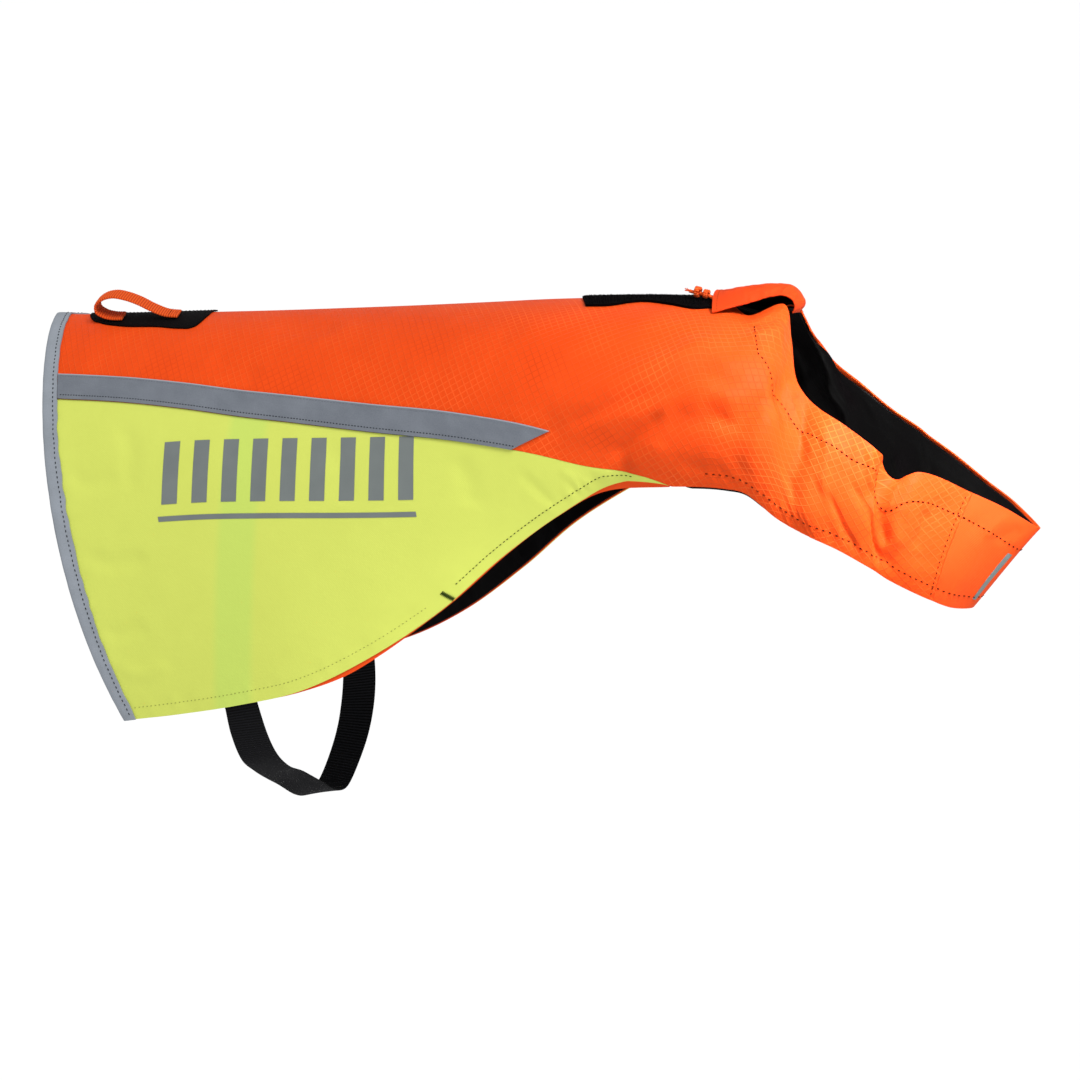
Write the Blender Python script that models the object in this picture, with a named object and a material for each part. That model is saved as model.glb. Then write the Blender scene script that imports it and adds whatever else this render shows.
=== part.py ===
"""Reflective dog coat, filled out as it is when it is worn.

The back of the coat carries the origin: the inside of the crest, above the wearer's
shoulders. +X runs to the neck opening, +Z is up, and the right side lies towards -Y.

Every cloth piece lies on one surface, measured in millimetres as on a pattern:
"at" runs from the rear hem along the coat to the centre of the chest, and "down" runs
from the crest, or from the neck edge, over the side to the lower edge. "Lift" is the
height over the outer face of the shell, and is negative for the layers inside it.
"""
import bmesh
import bpy
import numpy as np

MM = 0.001

# The layers, in millimetres.
SHELL = 1.0
LINING = 1.0
FACING = 1.0
TAPE = 1.0
GAP = 0.3

# Landmarks along the coat, in millimetres from the rear hem.
BINDING_WIDTH = 10.0
TAPE_END_LOW = 339.0
TAPE_END_HIGH = 370.0
SHOULDER = 360.0
FLANK_TIP = 446.0
SLIT_APEX = 487.0
PINCH = 637.0
CHEST_SEAM = 691.0
CENTRE_FRONT = 735.0

# Widths of what is sewn on, in millimetres.
TAPE_WIDTH = 19.0
FACING_WIDTH = 18.0
STRAP_WIDTH = 25.0
STRAP_THICK = 1.6
PATCH_THICK = 1.0
HANDLE_WIDTH = 18.0
HANDLE_THICK = 1.8
TAB_THICK = 1.4
EDGE_INSET = 1.5
NECK_SLACK = 0.5
HEM_BOW_HIGH = 4.0
HEM_BOW_LOW = 27.0
HEM_BOW_LENGTH = 200.0

# Cross sections of the right half. Each is one Bezier arc from the top edge to the lower
# edge: "out" and "down" lead away from the top point, "swell" and "up" from the low one.
SECTION_COLUMNS = ("at", "top_x", "top_y", "top_z", "out", "down", "swell", "up",
                   "low_x", "low_y", "low_z")
SECTIONS = (
    (0, -461, 0, -23, 80, 4, 30, 124, -368, 92, -289),
    (50, -408, 0, -21.5, 86, 1, 25, 150, -325, 93, -281),
    (100, -355, 0, -18.3, 88, 0, 21, 162, -281, 95, -271),
    (150, -305, 0, -15.4, 88, 0, 20, 158, -236, 95, -258),
    (205, -250, 0, -11.8, 88, 0, 22, 142, -188, 89, -233),
    (260, -195, 0, -8, 88, 0, 28, 118, -141, 80, -200),
    (315, -140, 0, -3.8, 88, 0, 32, 90, -98, 74, -161),
    (360, -95, 0, -0.2, 88, 0, 32, 66, -60, 73, -132),
    (405, -50, 0, 2.2, 88, 0, 30, 54, -26, 73, -113),
    (445, -10, 0, 3.6, 86, 0, 30, 54, 14, 76, -109),
    (487, 32, 0, 2.3, 80, 3, 30, 57, 53, 78, -108),
    (505, 48, 14, -4, 62, 2, 28, 60, 66, 78, -110),
    (530, 72, 9, 3, 60, 16, 24, 62, 86, 76, -125),
    (550, 80, 22, -18, 40, 18, 22, 50, 98, 74, -132),
    (568, 90, 44, -41, 22, 16, 18, 40, 108, 72, -137),
    (588, 107, 54, -56, 14, 18, 12, 36, 117, 70, -141),
    (610, 127, 56, -68, 12, 20, 10, 34, 127, 67, -146),
    (632, 146, 55, -81.5, 10, 20, 10, 30, 140, 62, -154),
    (643, 154, 50, -97, 8, 14, 10, 28, 146, 59, -158),
    (660, 171, 43, -96, 10, 18, 10, 28, 154, 55, -164),
    (690, 200, 25, -110, 10, 20, 10, 26, 178, 34, -180),
    (715, 222, 13, -122, 8, 18, 8, 22, 190, 18, -187),
    (735, 240, 0, -135, 0, 16, 0, 18, 198, 0, -189),
)

# Sections that the left half has in their place: its neck edge has no pinch.
LEFT_SECTIONS = (
    (260, -195, 0, -8, 88, 0, 28, 118, -141, 80, -198),
    (360, -95, 0, -0.2, 88, 0, 32, 66, -60, 73, -136),
    (405, -50, 0, 2.2, 88, 0, 30, 54, -26, 73, -118),
    (445, -10, 0, 3.6, 86, 0, 30, 54, 14, 76, -113),
    (530, 74, 10, 1.5, 38, 28, 24, 62, 86, 76, -125),
    (550, 83, 22, -18.5, 24, 28, 22, 50, 98, 74, -132),
    (568, 91, 43, -38, 16, 20, 18, 40, 108, 72, -137),
    (588, 107, 54, -53.5, 14, 18, 12, 36, 117, 70, -141),
    (610, 127, 56, -69.5, 12, 20, 10, 34, 127, 67, -146),
    (632, 149, 55, -83, 10, 20, 10, 30, 140, 62, -154),
    (643, 158, 50, -88, 8, 20, 10, 28, 146, 59, -158),
    (660, 172, 43, -95, 10, 18, 10, 28, 154, 55, -164),
)

# The seam between the orange back and the yellow flank: how far down it runs.
SEAM = {"at": (0, 60, 100, 140, 185, 230, 300, 340, 390, 430, 448),
        "down": (93.5, 103.8, 111.6, 118.5, 124.3, 130, 138.5, 146, 158.5, 167.3, 175)}

# How far the orange facing stands proud of the yellow edge.
FACING_PROUD = {"at": (24, 150, 190, 215, 245, 300, 335, 380, 420, 446),
                "proud": (0.5, 1.0, 3.5, 2.5, 1.0, 1.5, 1.0, 2.5, 4.0, 2.0)}

# The reach of the black patch under the handle, from its rear end to its front end, right
# of the crest. It reaches only a part of that to the left.
PATCH = {"at": (22, 26, 36, 50, 80, 98, 110, 116, 120, 122),
         "reach": (10, 19, 26, 31, 36, 40, 41, 36, 28, 16)}
PATCH_LEFT_SHARE = 0.4

# The largest folds. Each is a soft ridge (height above 0) or trough (below 0) along a line
# in the side view, and fades over its width to both sides.
FOLD_COLUMNS = ("side", "from_x", "from_z", "to_x", "to_z", "width", "height")
RIGHT = -1
LEFT = 1
FOLDS = (
    (RIGHT, -45, -70, 60, -30, 10, 3.5),
    (RIGHT, 20, -50, -22, -90, 11, -3.0),
    (RIGHT, 82, -50, 28, -66, 10, -2.5),
    (RIGHT, 100, -58, 94, -108, 9, -4.0),
    (RIGHT, 112, -72, 108, -118, 9, 2.0),
    (RIGHT, 152, -90, 147, -108, 7, -5.0),
    (RIGHT, 163, -104, 160, -116, 8, 2.5),
    (RIGHT, 150, -118, 150, -146, 8, -2.0),
    (RIGHT, 183, -118, 176, -150, 8, -1.8),
    (LEFT, -30, -66, 50, -38, 11, 3.0),
    (LEFT, 16, -60, -14, -92, 11, -2.5),
    (LEFT, 88, -60, 40, -76, 10, -3.0),
    (LEFT, 104, -66, 99, -104, 9, -3.0),
    (LEFT, 140, -88, 134, -112, 8, -3.0),
    (LEFT, 176, -112, 168, -140, 9, -2.0),
)
FOLD_FADE = 24.0

# Rows of the cloth between its edges, and the steps between the stations along it.
BACK_ROWS = 11
FLANK_ROWS = 6
PATCH_ROWS = 5
REAR_STEP = 24.0
FRONT_STEP = 11.0

# The belly strap: where it is sewn into each flank, and its free run between them under
# the belly, as a middle line and the way its width lies. It tips up and twists at the low end.
STRAP_AT_RIGHT = 99.0
STRAP_AT_LEFT = 108.5
STRAP_SEWN = 14.0
STRAP_STEPS = 48
STRAP_COLUMNS = ("x", "y", "z", "wide_x", "wide_y", "wide_z")
STRAP_RUN = (
    (-280, -82, -293, 25, 4, 4),
    (-280, -66, -313, 24, 6, 5),
    (-281, -45, -326, 24, 3, 5),
    (-281, -12, -341, 21, -3, 11),
    (-280, 14, -354, 21, -3, 12),
    (-282, 44, -364, 24, -4, 5),
    (-283, 66, -363, 24, -4, -1),
    (-279, 79, -345, 25, -2, -1),
    (-276, 87, -327, 25, 0, -1),
    (-274, 91, -308, 24, 3, 2),
)

# The handle, a webbing arch on the right slope of the crest that curls at its rear foot:
# its middle line, as places along the coat and heights over the patch.
HANDLE_DOWN = 17.0
HANDLE_STEPS = 26
HANDLE_COLUMNS = ("at", "rise")
HANDLE_RUN = (
    (92.5, 1.3),
    (84, 2.4),
    (74, 6.8),
    (65.5, 11.8),
    (57, 15.4),
    (48, 17.2),
    (40, 15.4),
    (34.6, 11.0),
    (34.2, 7.0),
    (38.5, 3.4),
    (45, 1.6),
    (52, 1.3),
)

# The tab over the slit, folded like a roof: its right edge, its ridge, and its left edge,
# which is sewn to the left side of the neck.
TAB_COLUMNS = ("right_x", "right_y", "right_z", "ridge_x", "ridge_y", "ridge_z",
               "left_x", "left_y", "left_z")
TAB_RUN = (
    (30.5, -35, -2.0, 25, -10, 8.6, 24.5, 9.0, 5.4),
    (38, -29.5, 0.3, 34, -7, 10.6, 34.5, 16.0, 0.9),
    (48, -23.5, 3.2, 44, -4, 12.6, 44, 21.0, -2.2),
    (57, -18.5, 6.0, 55, 0, 13.8, 54, 22.0, -2.6),
    (65, -14.5, 8.2, 66, 4, 14.2, 64.5, 18.6, 1.9),
    (71.5, -11.5, 8.6, 73.5, 5, 12.6, 71, 17.0, 3.2),
    (76, -9, 5.6, 78.2, 5, 7.0, 77, 13.0, 3.4),
    (77, -8, 0.6, 79.2, 4, 0.8, 78, 10.0, 0.3),
    (74.5, -7, -3.8, 75.8, 2, -4.5, 75, 7.0, -4.6),
)
TAB_STEPS = 20
TAB_ROWS = 4

# The knotted end of the drawcord: its middle line and its thickness there.
CORD_COLUMNS = ("x", "y", "z", "radius")
CORD_END = (
    (28, -14, 5.8, 1.0),
    (24.5, -14, 6.4, 1.3),
    (20, -14, 8.9, 3.0),
    (17, -14, 8.9, 2.3),
    (14, -14, 10.0, 3.8),
    (11.5, -14, 9.8, 2.0),
    (8.5, -14, 10.5, 1.4),
    (5.5, -14, 11.6, 0.7),
)
CORD_STEPS = 24
CORD_SIDES = 8

# The strip of loop fastener: its ends on the right, how far its rear end leans back by
# the crest, its width left of the crest, and right of it.
STRIP_REAR = 394.0
STRIP_FRONT = 482.0
STRIP_LEAN = 9.0
STRIP_LEFT = 9.0
STRIP_RIGHT = {"at": (394, 410, 431, 450, 469, 482), "down": (29, 29, 19, 25, 34, 27)}
STRIP_THICK = 1.6
STRIP_ROWS = 4


def hermite(knots, values, x):
    """Smooth curve through the values at the knots, straight beyond the first and last."""
    knots = np.asarray(knots, dtype=float)
    values = np.asarray(values, dtype=float)
    slopes = np.gradient(values, knots, axis=0)
    if x <= knots[0]:
        return values[0] + (x - knots[0]) * slopes[0]
    if x >= knots[-1]:
        return values[-1] + (x - knots[-1]) * slopes[-1]
    i = int(np.searchsorted(knots, x, side="right") - 1)
    h = knots[i + 1] - knots[i]
    s = (x - knots[i]) / h
    rise = s * s * (3 - 2 * s)
    start = values[i] * (1 - rise) + values[i + 1] * rise
    bend = slopes[i] * (s * (1 - s) ** 2) + slopes[i + 1] * (s * s * (s - 1))
    return start + h * bend


def columns_of(rows, header, *names):
    """The named columns of a table, side by side."""
    return np.array(rows, dtype=float)[:, [header.index(name) for name in names]]


def section_controls(side):
    """Places of one side's sections and the four Bezier points of each, laid to the right.

    One mirrored section follows past the front.
    """
    changed = {row[0]: row for row in LEFT_SECTIONS} if side == LEFT else {}
    rows = [changed.get(row[0], row) for row in SECTIONS]
    right = np.array([1, RIGHT, 1])
    top = columns_of(rows, SECTION_COLUMNS, "top_x", "top_y", "top_z") * right
    low = columns_of(rows, SECTION_COLUMNS, "low_x", "low_y", "low_z") * right
    at, out, down, swell, up = columns_of(
        rows, SECTION_COLUMNS, "at", "out", "down", "swell", "up").T
    third = (low[:, 0] - top[:, 0]) / 3
    bow = np.clip(1 - at / HEM_BOW_LENGTH, 0, 1) ** 2
    upper = top + np.stack([third - HEM_BOW_HIGH * bow, -out, -down], axis=1)
    lower = low + np.stack([-third - HEM_BOW_LOW * bow, -swell, up], axis=1)
    controls = np.stack([top, upper, lower, low], axis=1)
    mirrored = controls[-2] * np.array([1, -1, 1])
    knots = np.append(at, 2 * at[-1] - at[-2])
    return knots, np.concatenate([controls, mirrored[None]], axis=0)


CONTROLS = {side: section_controls(side) for side in (RIGHT, LEFT)}
SECTION_STEPS = 48
SECTION_CACHE = {}


def section(at, side):
    """Points down one section, laid to the right, and the length of cloth to each."""
    key = (round(at, 4), side)
    if key not in SECTION_CACHE:
        knots, controls = CONTROLS[side]
        a, b, c, d = hermite(knots, controls, at)
        t = np.linspace(0, 1, SECTION_STEPS + 1)[:, None]
        points = (1 - t) ** 3 * a + 3 * (1 - t) ** 2 * t * b + 3 * (1 - t) * t * t * c + t ** 3 * d
        lengths = np.linalg.norm(np.diff(points, axis=0), axis=1)
        SECTION_CACHE[key] = (points, np.concatenate([[0.0], np.cumsum(lengths)]))
    return SECTION_CACHE[key]


def depth(at, side):
    """Length of cloth from the top edge to the lower edge."""
    return section(at, side)[1][-1]


def on_section(at, share, side):
    """The point at a share of a section's length, straight on past either edge."""
    points, lengths = section(at, side)
    reach = share * lengths[-1]
    i = int(np.clip(np.searchsorted(lengths, reach) - 1, 0, SECTION_STEPS - 1))
    s = (reach - lengths[i]) / (lengths[i + 1] - lengths[i])
    return points[i] * (1 - s) + points[i + 1] * s


def fade(x):
    x = min(max(x, 0.0), 1.0)
    return x * x * (3 - 2 * x)


def fold_height(point, side):
    """How far the folds move a point of the surface out or in."""
    height = 0.0
    for row in FOLDS:
        fold = dict(zip(FOLD_COLUMNS, row))
        if fold["side"] != side:
            continue
        start = np.array([fold["from_x"], fold["from_z"]], dtype=float)
        line = np.array([fold["to_x"], fold["to_z"]], dtype=float) - start
        spot = np.array([point[0], point[2]]) - start
        along = min(max(spot @ line / (line @ line), 0.0), 1.0)
        off = np.linalg.norm(spot - along * line) / fold["width"]
        height += fold["height"] * np.exp(-off * off)
    return height


def cloth(at, down, side, lift):
    """A point of the coat, "at" along it and "down" from its top edge on one side."""
    on_crest = abs(down) < 1e-6 and at <= SLIT_APEX
    half = RIGHT if on_crest else side
    length = depth(at, half)
    share = down / length
    step = 0.5
    point = on_section(at, share, half)
    along = on_section(at + step, share, half) - on_section(at - step, share, half)
    more = step / length
    across = on_section(at, share + more, half) - on_section(at, share - more, half)
    normal = np.cross(across, along)
    normal = normal / np.linalg.norm(normal)
    on_middle = on_crest or at >= CENTRE_FRONT
    if on_middle:
        normal[1] = 0.0
        normal = normal / np.linalg.norm(normal)
    calm = fade((CENTRE_FRONT - at) / FOLD_FADE)
    if at < SLIT_APEX:
        calm *= fade(down / FOLD_FADE)
    point = point + normal * (lift + calm * fold_height(point, side))
    if on_middle:
        point[1] = 0.0
    return np.array([point[0], -side * point[1], point[2]])


def seam_down(at, side):
    """How far down the orange cloth reaches: to the seam, or to the lower edge ahead of it."""
    return min(hermite(SEAM["at"], SEAM["down"], at), depth(at, side))


def spread(start, stop, step):
    """Even places from start to stop, about a step apart."""
    return list(np.linspace(start, stop, round((stop - start) / step) + 1))


REAR_STATIONS = [0.0, BINDING_WIDTH + GAP] + spread(REAR_STEP, SHOULDER, REAR_STEP)
FLANK_STATIONS = REAR_STATIONS + spread(SHOULDER, FLANK_TIP, FRONT_STEP)[1:]
BACK_STATIONS = (FLANK_STATIONS + spread(FLANK_TIP, SLIT_APEX, FRONT_STEP)[1:]
                 + spread(SLIT_APEX, PINCH, FRONT_STEP)[1:]
                 + spread(PINCH, CHEST_SEAM - GAP / 2, FRONT_STEP)[1:])
CHEST_STATIONS = spread(CHEST_SEAM + GAP / 2, CENTRE_FRONT, FRONT_STEP)


def back_down(at, row, side):
    """Rows of the orange cloth: even, with one as wide as the tape along the seam."""
    low = seam_down(at, side) - (GAP / 2 if at < FLANK_TIP + 1 else 0)
    if row == BACK_ROWS:
        return low
    return (low - TAPE_WIDTH) * row / (BACK_ROWS - 1)


def facing_width(at, side):
    return min(FACING_WIDTH, (depth(at, side) - seam_down(at, side)) / 2)


def flank_down(at, row, side):
    """Rows of the yellow cloth: even, with one as wide as the facing along the edge."""
    high = seam_down(at, side) + GAP / 2
    if row == FLANK_ROWS:
        return depth(at, side)
    return high + (depth(at, side) - facing_width(at, side) - high) * row / (FLANK_ROWS - 1)


def principled(name, colour, roughness, metallic=0.0):
    material = bpy.data.materials.new(name)
    material.use_nodes = True
    shader = material.node_tree.nodes["Principled BSDF"]
    shader.inputs["Base Color"].default_value = (*colour, 1.0)
    shader.inputs["Roughness"].default_value = roughness
    shader.inputs["Metallic"].default_value = metallic
    material.diffuse_color = (*colour, 1.0)
    return material


def add_object(name, points, faces, material):
    """A closed solid from points in millimetres, smooth over its rounded faces."""
    mesh = bpy.data.meshes.new(name)
    mesh.from_pydata([tuple(np.asarray(p) * MM) for p in points], [], faces)
    shape = bmesh.new()
    shape.from_mesh(mesh)
    bmesh.ops.recalc_face_normals(shape, faces=shape.faces)
    shape.to_mesh(mesh)
    shape.free()
    mesh.shade_smooth()
    mesh.set_sharp_from_angle(angle=np.radians(40))
    mesh.materials.append(material)
    piece = bpy.data.objects.new(name, mesh)
    bpy.context.scene.collection.objects.link(piece)
    return piece


def wall(name, outer, inner, triangles, material):
    """Cloth with a thickness: a sheet, its inner copy, and a rim around every free edge."""
    count = len(outer)
    faces = [tuple(t) for t in triangles]
    faces += [tuple(count + v for v in reversed(t)) for t in triangles]
    edges = {}
    for a, b, c in triangles:
        for start, end in ((a, b), (b, c), (c, a)):
            edges[(start, end)] = True
    for start, end in edges:
        if (end, start) not in edges:
            faces.append((end, start, count + start))
            faces.append((end, count + start, count + end))
    return add_object(name, outer + inner, faces, material)


class Panel:
    """Sheet points shared by their name, with an outer and an inner place for each."""

    def __init__(self, outer_lift, thickness):
        self.outer_lift = outer_lift
        self.thickness = thickness
        self.index = {}
        self.outer = []
        self.inner = []
        self.triangles = []

    def point(self, name, at, down, side, sink=0.0):
        if name not in self.index:
            self.index[name] = len(self.outer)
            lift = self.outer_lift - sink
            self.outer.append(cloth(at, down, side, lift))
            self.inner.append(cloth(at, down, side, lift - self.thickness))
        return self.index[name]

    def pull_in(self, edge, neighbour, distance):
        """Moves an edge point towards its neighbour, which trims the sheet there."""
        a = self.index[edge]
        b = self.index[neighbour]
        for face in (self.outer, self.inner):
            run = face[b] - face[a]
            face[a] = face[a] + run * min(distance / np.linalg.norm(run), 0.5)

    def fill(self, grid, side):
        """Two triangles for each cell of a grid of point numbers, cut the same way always."""
        for first, second in zip(grid, grid[1:]):
            for a, b, c, d in zip(first, second, second[1:], first[1:]):
                pair = ((a, b, c), (a, c, d)) if side == RIGHT else ((a, c, b), (a, d, c))
                self.triangles.extend(pair)

    def finish(self, name, material):
        return wall(name, self.outer, self.inner, self.triangles, material)


def add_back_panel(material):
    """The orange back with its shoulders, in one piece over the crest."""
    panel = Panel(0.0, SHELL)
    for side in (RIGHT, LEFT):
        grid = []
        for at in BACK_STATIONS:
            line = []
            for row in range(BACK_ROWS + 1):
                shared = row == 0 and at <= SLIT_APEX
                name = (at, row, 0 if shared else side)
                line.append(panel.point(name, at, back_down(at, row, side), side))
            grid.append(line)
        panel.fill(grid, side)
    panel.finish("back_panel", material)


def add_chest_panel(material):
    """The plain orange piece across the front of the chest."""
    panel = Panel(0.0, SHELL)
    for side in (RIGHT, LEFT):
        grid = []
        for at in CHEST_STATIONS:
            middle = at >= CENTRE_FRONT
            line = []
            for row in range(BACK_ROWS + 1):
                name = (at, row, 0 if middle else side)
                line.append(panel.point(name, at, back_down(at, row, side), side))
            grid.append(line)
        panel.fill(grid, side)
    panel.finish("chest_panel", material)


def add_back_lining(material):
    """The black lining of the back, the shoulders and the chest, in one ring."""
    panel = Panel(-SHELL - GAP, LINING)
    stations = BACK_STATIONS[:-1] + [CHEST_SEAM] + CHEST_STATIONS[1:]
    last = BACK_ROWS
    for side in (RIGHT, LEFT):
        grid = []
        for at in stations:
            line = []
            for row in range(BACK_ROWS + 1):
                name = lining_name(at, row, side)
                slack = NECK_SLACK if row <= 1 and at > SLIT_APEX else 0.0
                line.append(panel.point(name, at, back_down(at, row, side), side, slack))
            grid.append(line)
        panel.fill(grid, side)
    for side in (RIGHT, LEFT):
        for at in stations:
            once = side == RIGHT or at < CENTRE_FRONT
            if at > SLIT_APEX and once:
                panel.pull_in(lining_name(at, 0, side), lining_name(at, 1, side), EDGE_INSET)
            if at > FLANK_TIP and once:
                edge = lining_name(at, last, side)
                panel.pull_in(edge, lining_name(at, last - 1, side), EDGE_INSET)
        for row in range(0 if side == RIGHT else 1, BACK_ROWS + 1):
            hem = lining_name(stations[0], row, side)
            panel.pull_in(hem, lining_name(stations[1], row, side), EDGE_INSET)
    panel.finish("lining_back", material)


def lining_name(at, row, side):
    """One name for both sides where they meet: on the crest and at the centre front."""
    shared = (row == 0 and at <= SLIT_APEX) or at >= CENTRE_FRONT
    return (at, row, 0 if shared else side)


def add_flank(name, side, material):
    """The yellow side piece, from the seam to the curved lower edge."""
    panel = Panel(0.0, SHELL)
    grid = []
    for at in FLANK_STATIONS:
        line = []
        for row in range(FLANK_ROWS + 1):
            line.append(panel.point((at, row), at, flank_down(at, row, side), side))
        grid.append(line)
    panel.fill(grid, side)
    panel.finish(name, material)


def add_flank_lining(name, side, material):
    """The black lining of a flank, which steps in behind the facing along the edge."""
    panel = Panel(-SHELL - GAP, LINING)
    grid = []
    for at in FLANK_STATIONS:
        line = []
        for row in range(FLANK_ROWS + 1):
            behind = row >= FLANK_ROWS - 1 and at > BINDING_WIDTH + 1
            sink = FACING + GAP if behind else 0.0
            line.append(panel.point((at, row), at, flank_down(at, row, side), side, sink))
        grid.append(line)
    panel.fill(grid, side)
    for at in FLANK_STATIONS:
        panel.pull_in((at, FLANK_ROWS), (at, FLANK_ROWS - 1), EDGE_INSET)
    for row in range(FLANK_ROWS + 1):
        panel.pull_in((FLANK_STATIONS[0], row), (FLANK_STATIONS[1], row), EDGE_INSET)
    panel.finish(name, material)


def add_facing(name, side, material):
    """The orange strip behind the yellow edge, which shows as a thin line below it."""
    panel = Panel(-SHELL - GAP, FACING)
    grid = []
    for at in FLANK_STATIONS[2:]:
        proud = hermite(FACING_PROUD["at"], FACING_PROUD["proud"], at)
        top = flank_down(at, FLANK_ROWS - 1, side) + GAP
        edge = depth(at, side)
        downs = (top, edge, edge + proud)
        grid.append([panel.point((at, i), at, down, side) for i, down in enumerate(downs)])
    panel.fill(grid, side)
    panel.finish(name, material)


def add_tape(name, side, material):
    """The reflective tape along the seam, cut at a slant where the shoulder begins."""
    panel = Panel(GAP + TAPE, TAPE)
    stations = [BINDING_WIDTH + 2 * GAP]
    stations += [at for at in FLANK_STATIONS[2:] if at < TAPE_END_LOW]
    grid = []
    for at in stations:
        downs = (back_down(at, BACK_ROWS - 1, side), back_down(at, BACK_ROWS, side))
        grid.append([panel.point((at, i), at, down, side) for i, down in enumerate(downs)])
    half_way = ((stations[-1] + TAPE_END_HIGH) / 2, (stations[-1] + TAPE_END_LOW) / 2)
    for high, low in (half_way, (TAPE_END_HIGH, TAPE_END_LOW)):
        upper = panel.point((high, 0), high, back_down(high, BACK_ROWS - 1, side), side)
        lower = panel.point((low, 1), low, back_down(low, BACK_ROWS, side), side)
        grid.append([upper, lower])
    panel.fill(grid, side)
    panel.finish(name, material)


def add_binding(material):
    """The reflective binding folded over the rear hem, from one low corner to the other."""
    high = GAP
    deep = -SHELL - LINING - 2 * GAP
    skin = TAPE
    profile = ((BINDING_WIDTH, high), (-GAP, high), (-GAP, deep), (BINDING_WIDTH, deep),
               (BINDING_WIDTH, deep - skin), (-GAP, deep - skin), (-GAP - skin, deep - skin / 3),
               (-GAP - skin, high + skin / 3), (-GAP, high + skin), (BINDING_WIDTH, high + skin))
    downs = [back_down(0, row, RIGHT) for row in range(BACK_ROWS + 1)]
    downs += [flank_down(0, row, RIGHT) for row in range(1, FLANK_ROWS + 1)]
    hem = [(down, RIGHT) for down in reversed(downs)] + [(down, LEFT) for down in downs[1:]]
    length = depth(0, RIGHT)
    points = []
    for down, side in hem:
        for at, lift in profile:
            points.append(cloth(at, down * depth(at, side) / length, side, lift))
    faces = loft_faces(len(hem), len(profile))
    add_object("rear_binding", points, faces, material)


def loft_faces(rings, sides):
    """Quads between rings of points, and a fan over the first and the last ring."""
    faces = []
    for ring in range(rings - 1):
        start = ring * sides
        for i in range(sides):
            j = (i + 1) % sides
            faces.append((start + i, start + j, start + sides + j, start + sides + i))
    faces.append(tuple(reversed(range(sides))))
    faces.append(tuple(range((rings - 1) * sides, rings * sides)))
    return faces


def add_patch(material):
    """The black patch over the crest that the handle is sewn to."""
    panel = Panel(GAP + PATCH_THICK, PATCH_THICK)
    for side in (RIGHT, LEFT):
        grid = []
        for at, reach in zip(PATCH["at"], PATCH["reach"]):
            if side == LEFT:
                reach = reach * PATCH_LEFT_SHARE
            line = []
            for row in range(PATCH_ROWS + 1):
                name = (at, row, 0 if row == 0 else side)
                line.append(panel.point(name, at, reach * row / PATCH_ROWS, side))
            grid.append(line)
        panel.fill(grid, side)
    panel.finish("handle_patch", material)


def add_loop_strip(material):
    """The black strip of loop fastener on the crest, wider on the right side."""
    panel = Panel(GAP + STRIP_THICK, STRIP_THICK)
    for side in (RIGHT, LEFT):
        grid = []
        for at in spread(STRIP_REAR, STRIP_FRONT, FRONT_STEP):
            reach = STRIP_LEFT
            steps = 1
            if side == RIGHT:
                reach = hermite(STRIP_RIGHT["at"], STRIP_RIGHT["down"], at)
                steps = STRIP_ROWS
            lean = STRIP_LEAN * (STRIP_FRONT - at) / (STRIP_FRONT - STRIP_REAR)
            line = []
            for row in range(steps + 1):
                name = (at, row, 0 if row == 0 else side)
                leant = at - (lean * (1 - row / steps) if side == RIGHT else lean)
                line.append(panel.point(name, leant, reach * row / steps, side))
            grid.append(line)
        panel.fill(grid, side)
    panel.finish("loop_strip", material)


def smooth_run(rows, steps):
    """Rows along a smooth curve through the rows of a table, even along the first columns."""
    rows = np.array(rows, dtype=float)
    places = rows[:, :3]
    knots = np.concatenate([[0.0], np.cumsum(np.linalg.norm(np.diff(places, axis=0), axis=1))])
    return [hermite(knots, rows, x) for x in np.linspace(0, knots[-1], steps + 1)]


def ribbon(name, path, width_vectors, thickness, material):
    """A flat band along a path, with a width vector at each of its points."""
    path = np.array(path)
    along = np.gradient(path, axis=0)
    points = []
    for middle, run, width in zip(path, along, width_vectors):
        up = np.cross(run, width)
        up = up / np.linalg.norm(up) * thickness / 2
        half = np.asarray(width) / 2
        points += [middle - half - up, middle + half - up, middle + half + up, middle - half + up]
    add_object(name, points, loft_faces(len(path), 4), material)


def sewn_end(at, side):
    """Middle points and widths of the strap where it is sewn in behind a flank's edge."""
    lift = -SHELL - FACING - LINING - 3 * GAP - STRAP_THICK / 2
    rows = []
    for back in (STRAP_SEWN, STRAP_SEWN / 2, 0.0):
        ends = []
        for across in (-STRAP_WIDTH / 2, STRAP_WIDTH / 2):
            ends.append(cloth(at + across, depth(at + across, side) - back, side, lift))
        rows.append(np.concatenate([(ends[0] + ends[1]) / 2, ends[1] - ends[0]]))
    return rows


def add_strap(material):
    """The black belly strap, sewn inside each flank and hanging in a loop between them."""
    free = columns_of(STRAP_RUN, STRAP_COLUMNS, "x", "y", "z", "wide_x", "wide_y", "wide_z")
    rows = sewn_end(STRAP_AT_RIGHT, RIGHT) + list(free) + sewn_end(STRAP_AT_LEFT, LEFT)[::-1]
    run = np.array(smooth_run(rows, STRAP_STEPS))
    widths = run[:, 3:] / np.linalg.norm(run[:, 3:], axis=1, keepdims=True) * STRAP_WIDTH
    ribbon("belly_strap", run[:, :3], widths, STRAP_THICK, material)


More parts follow.
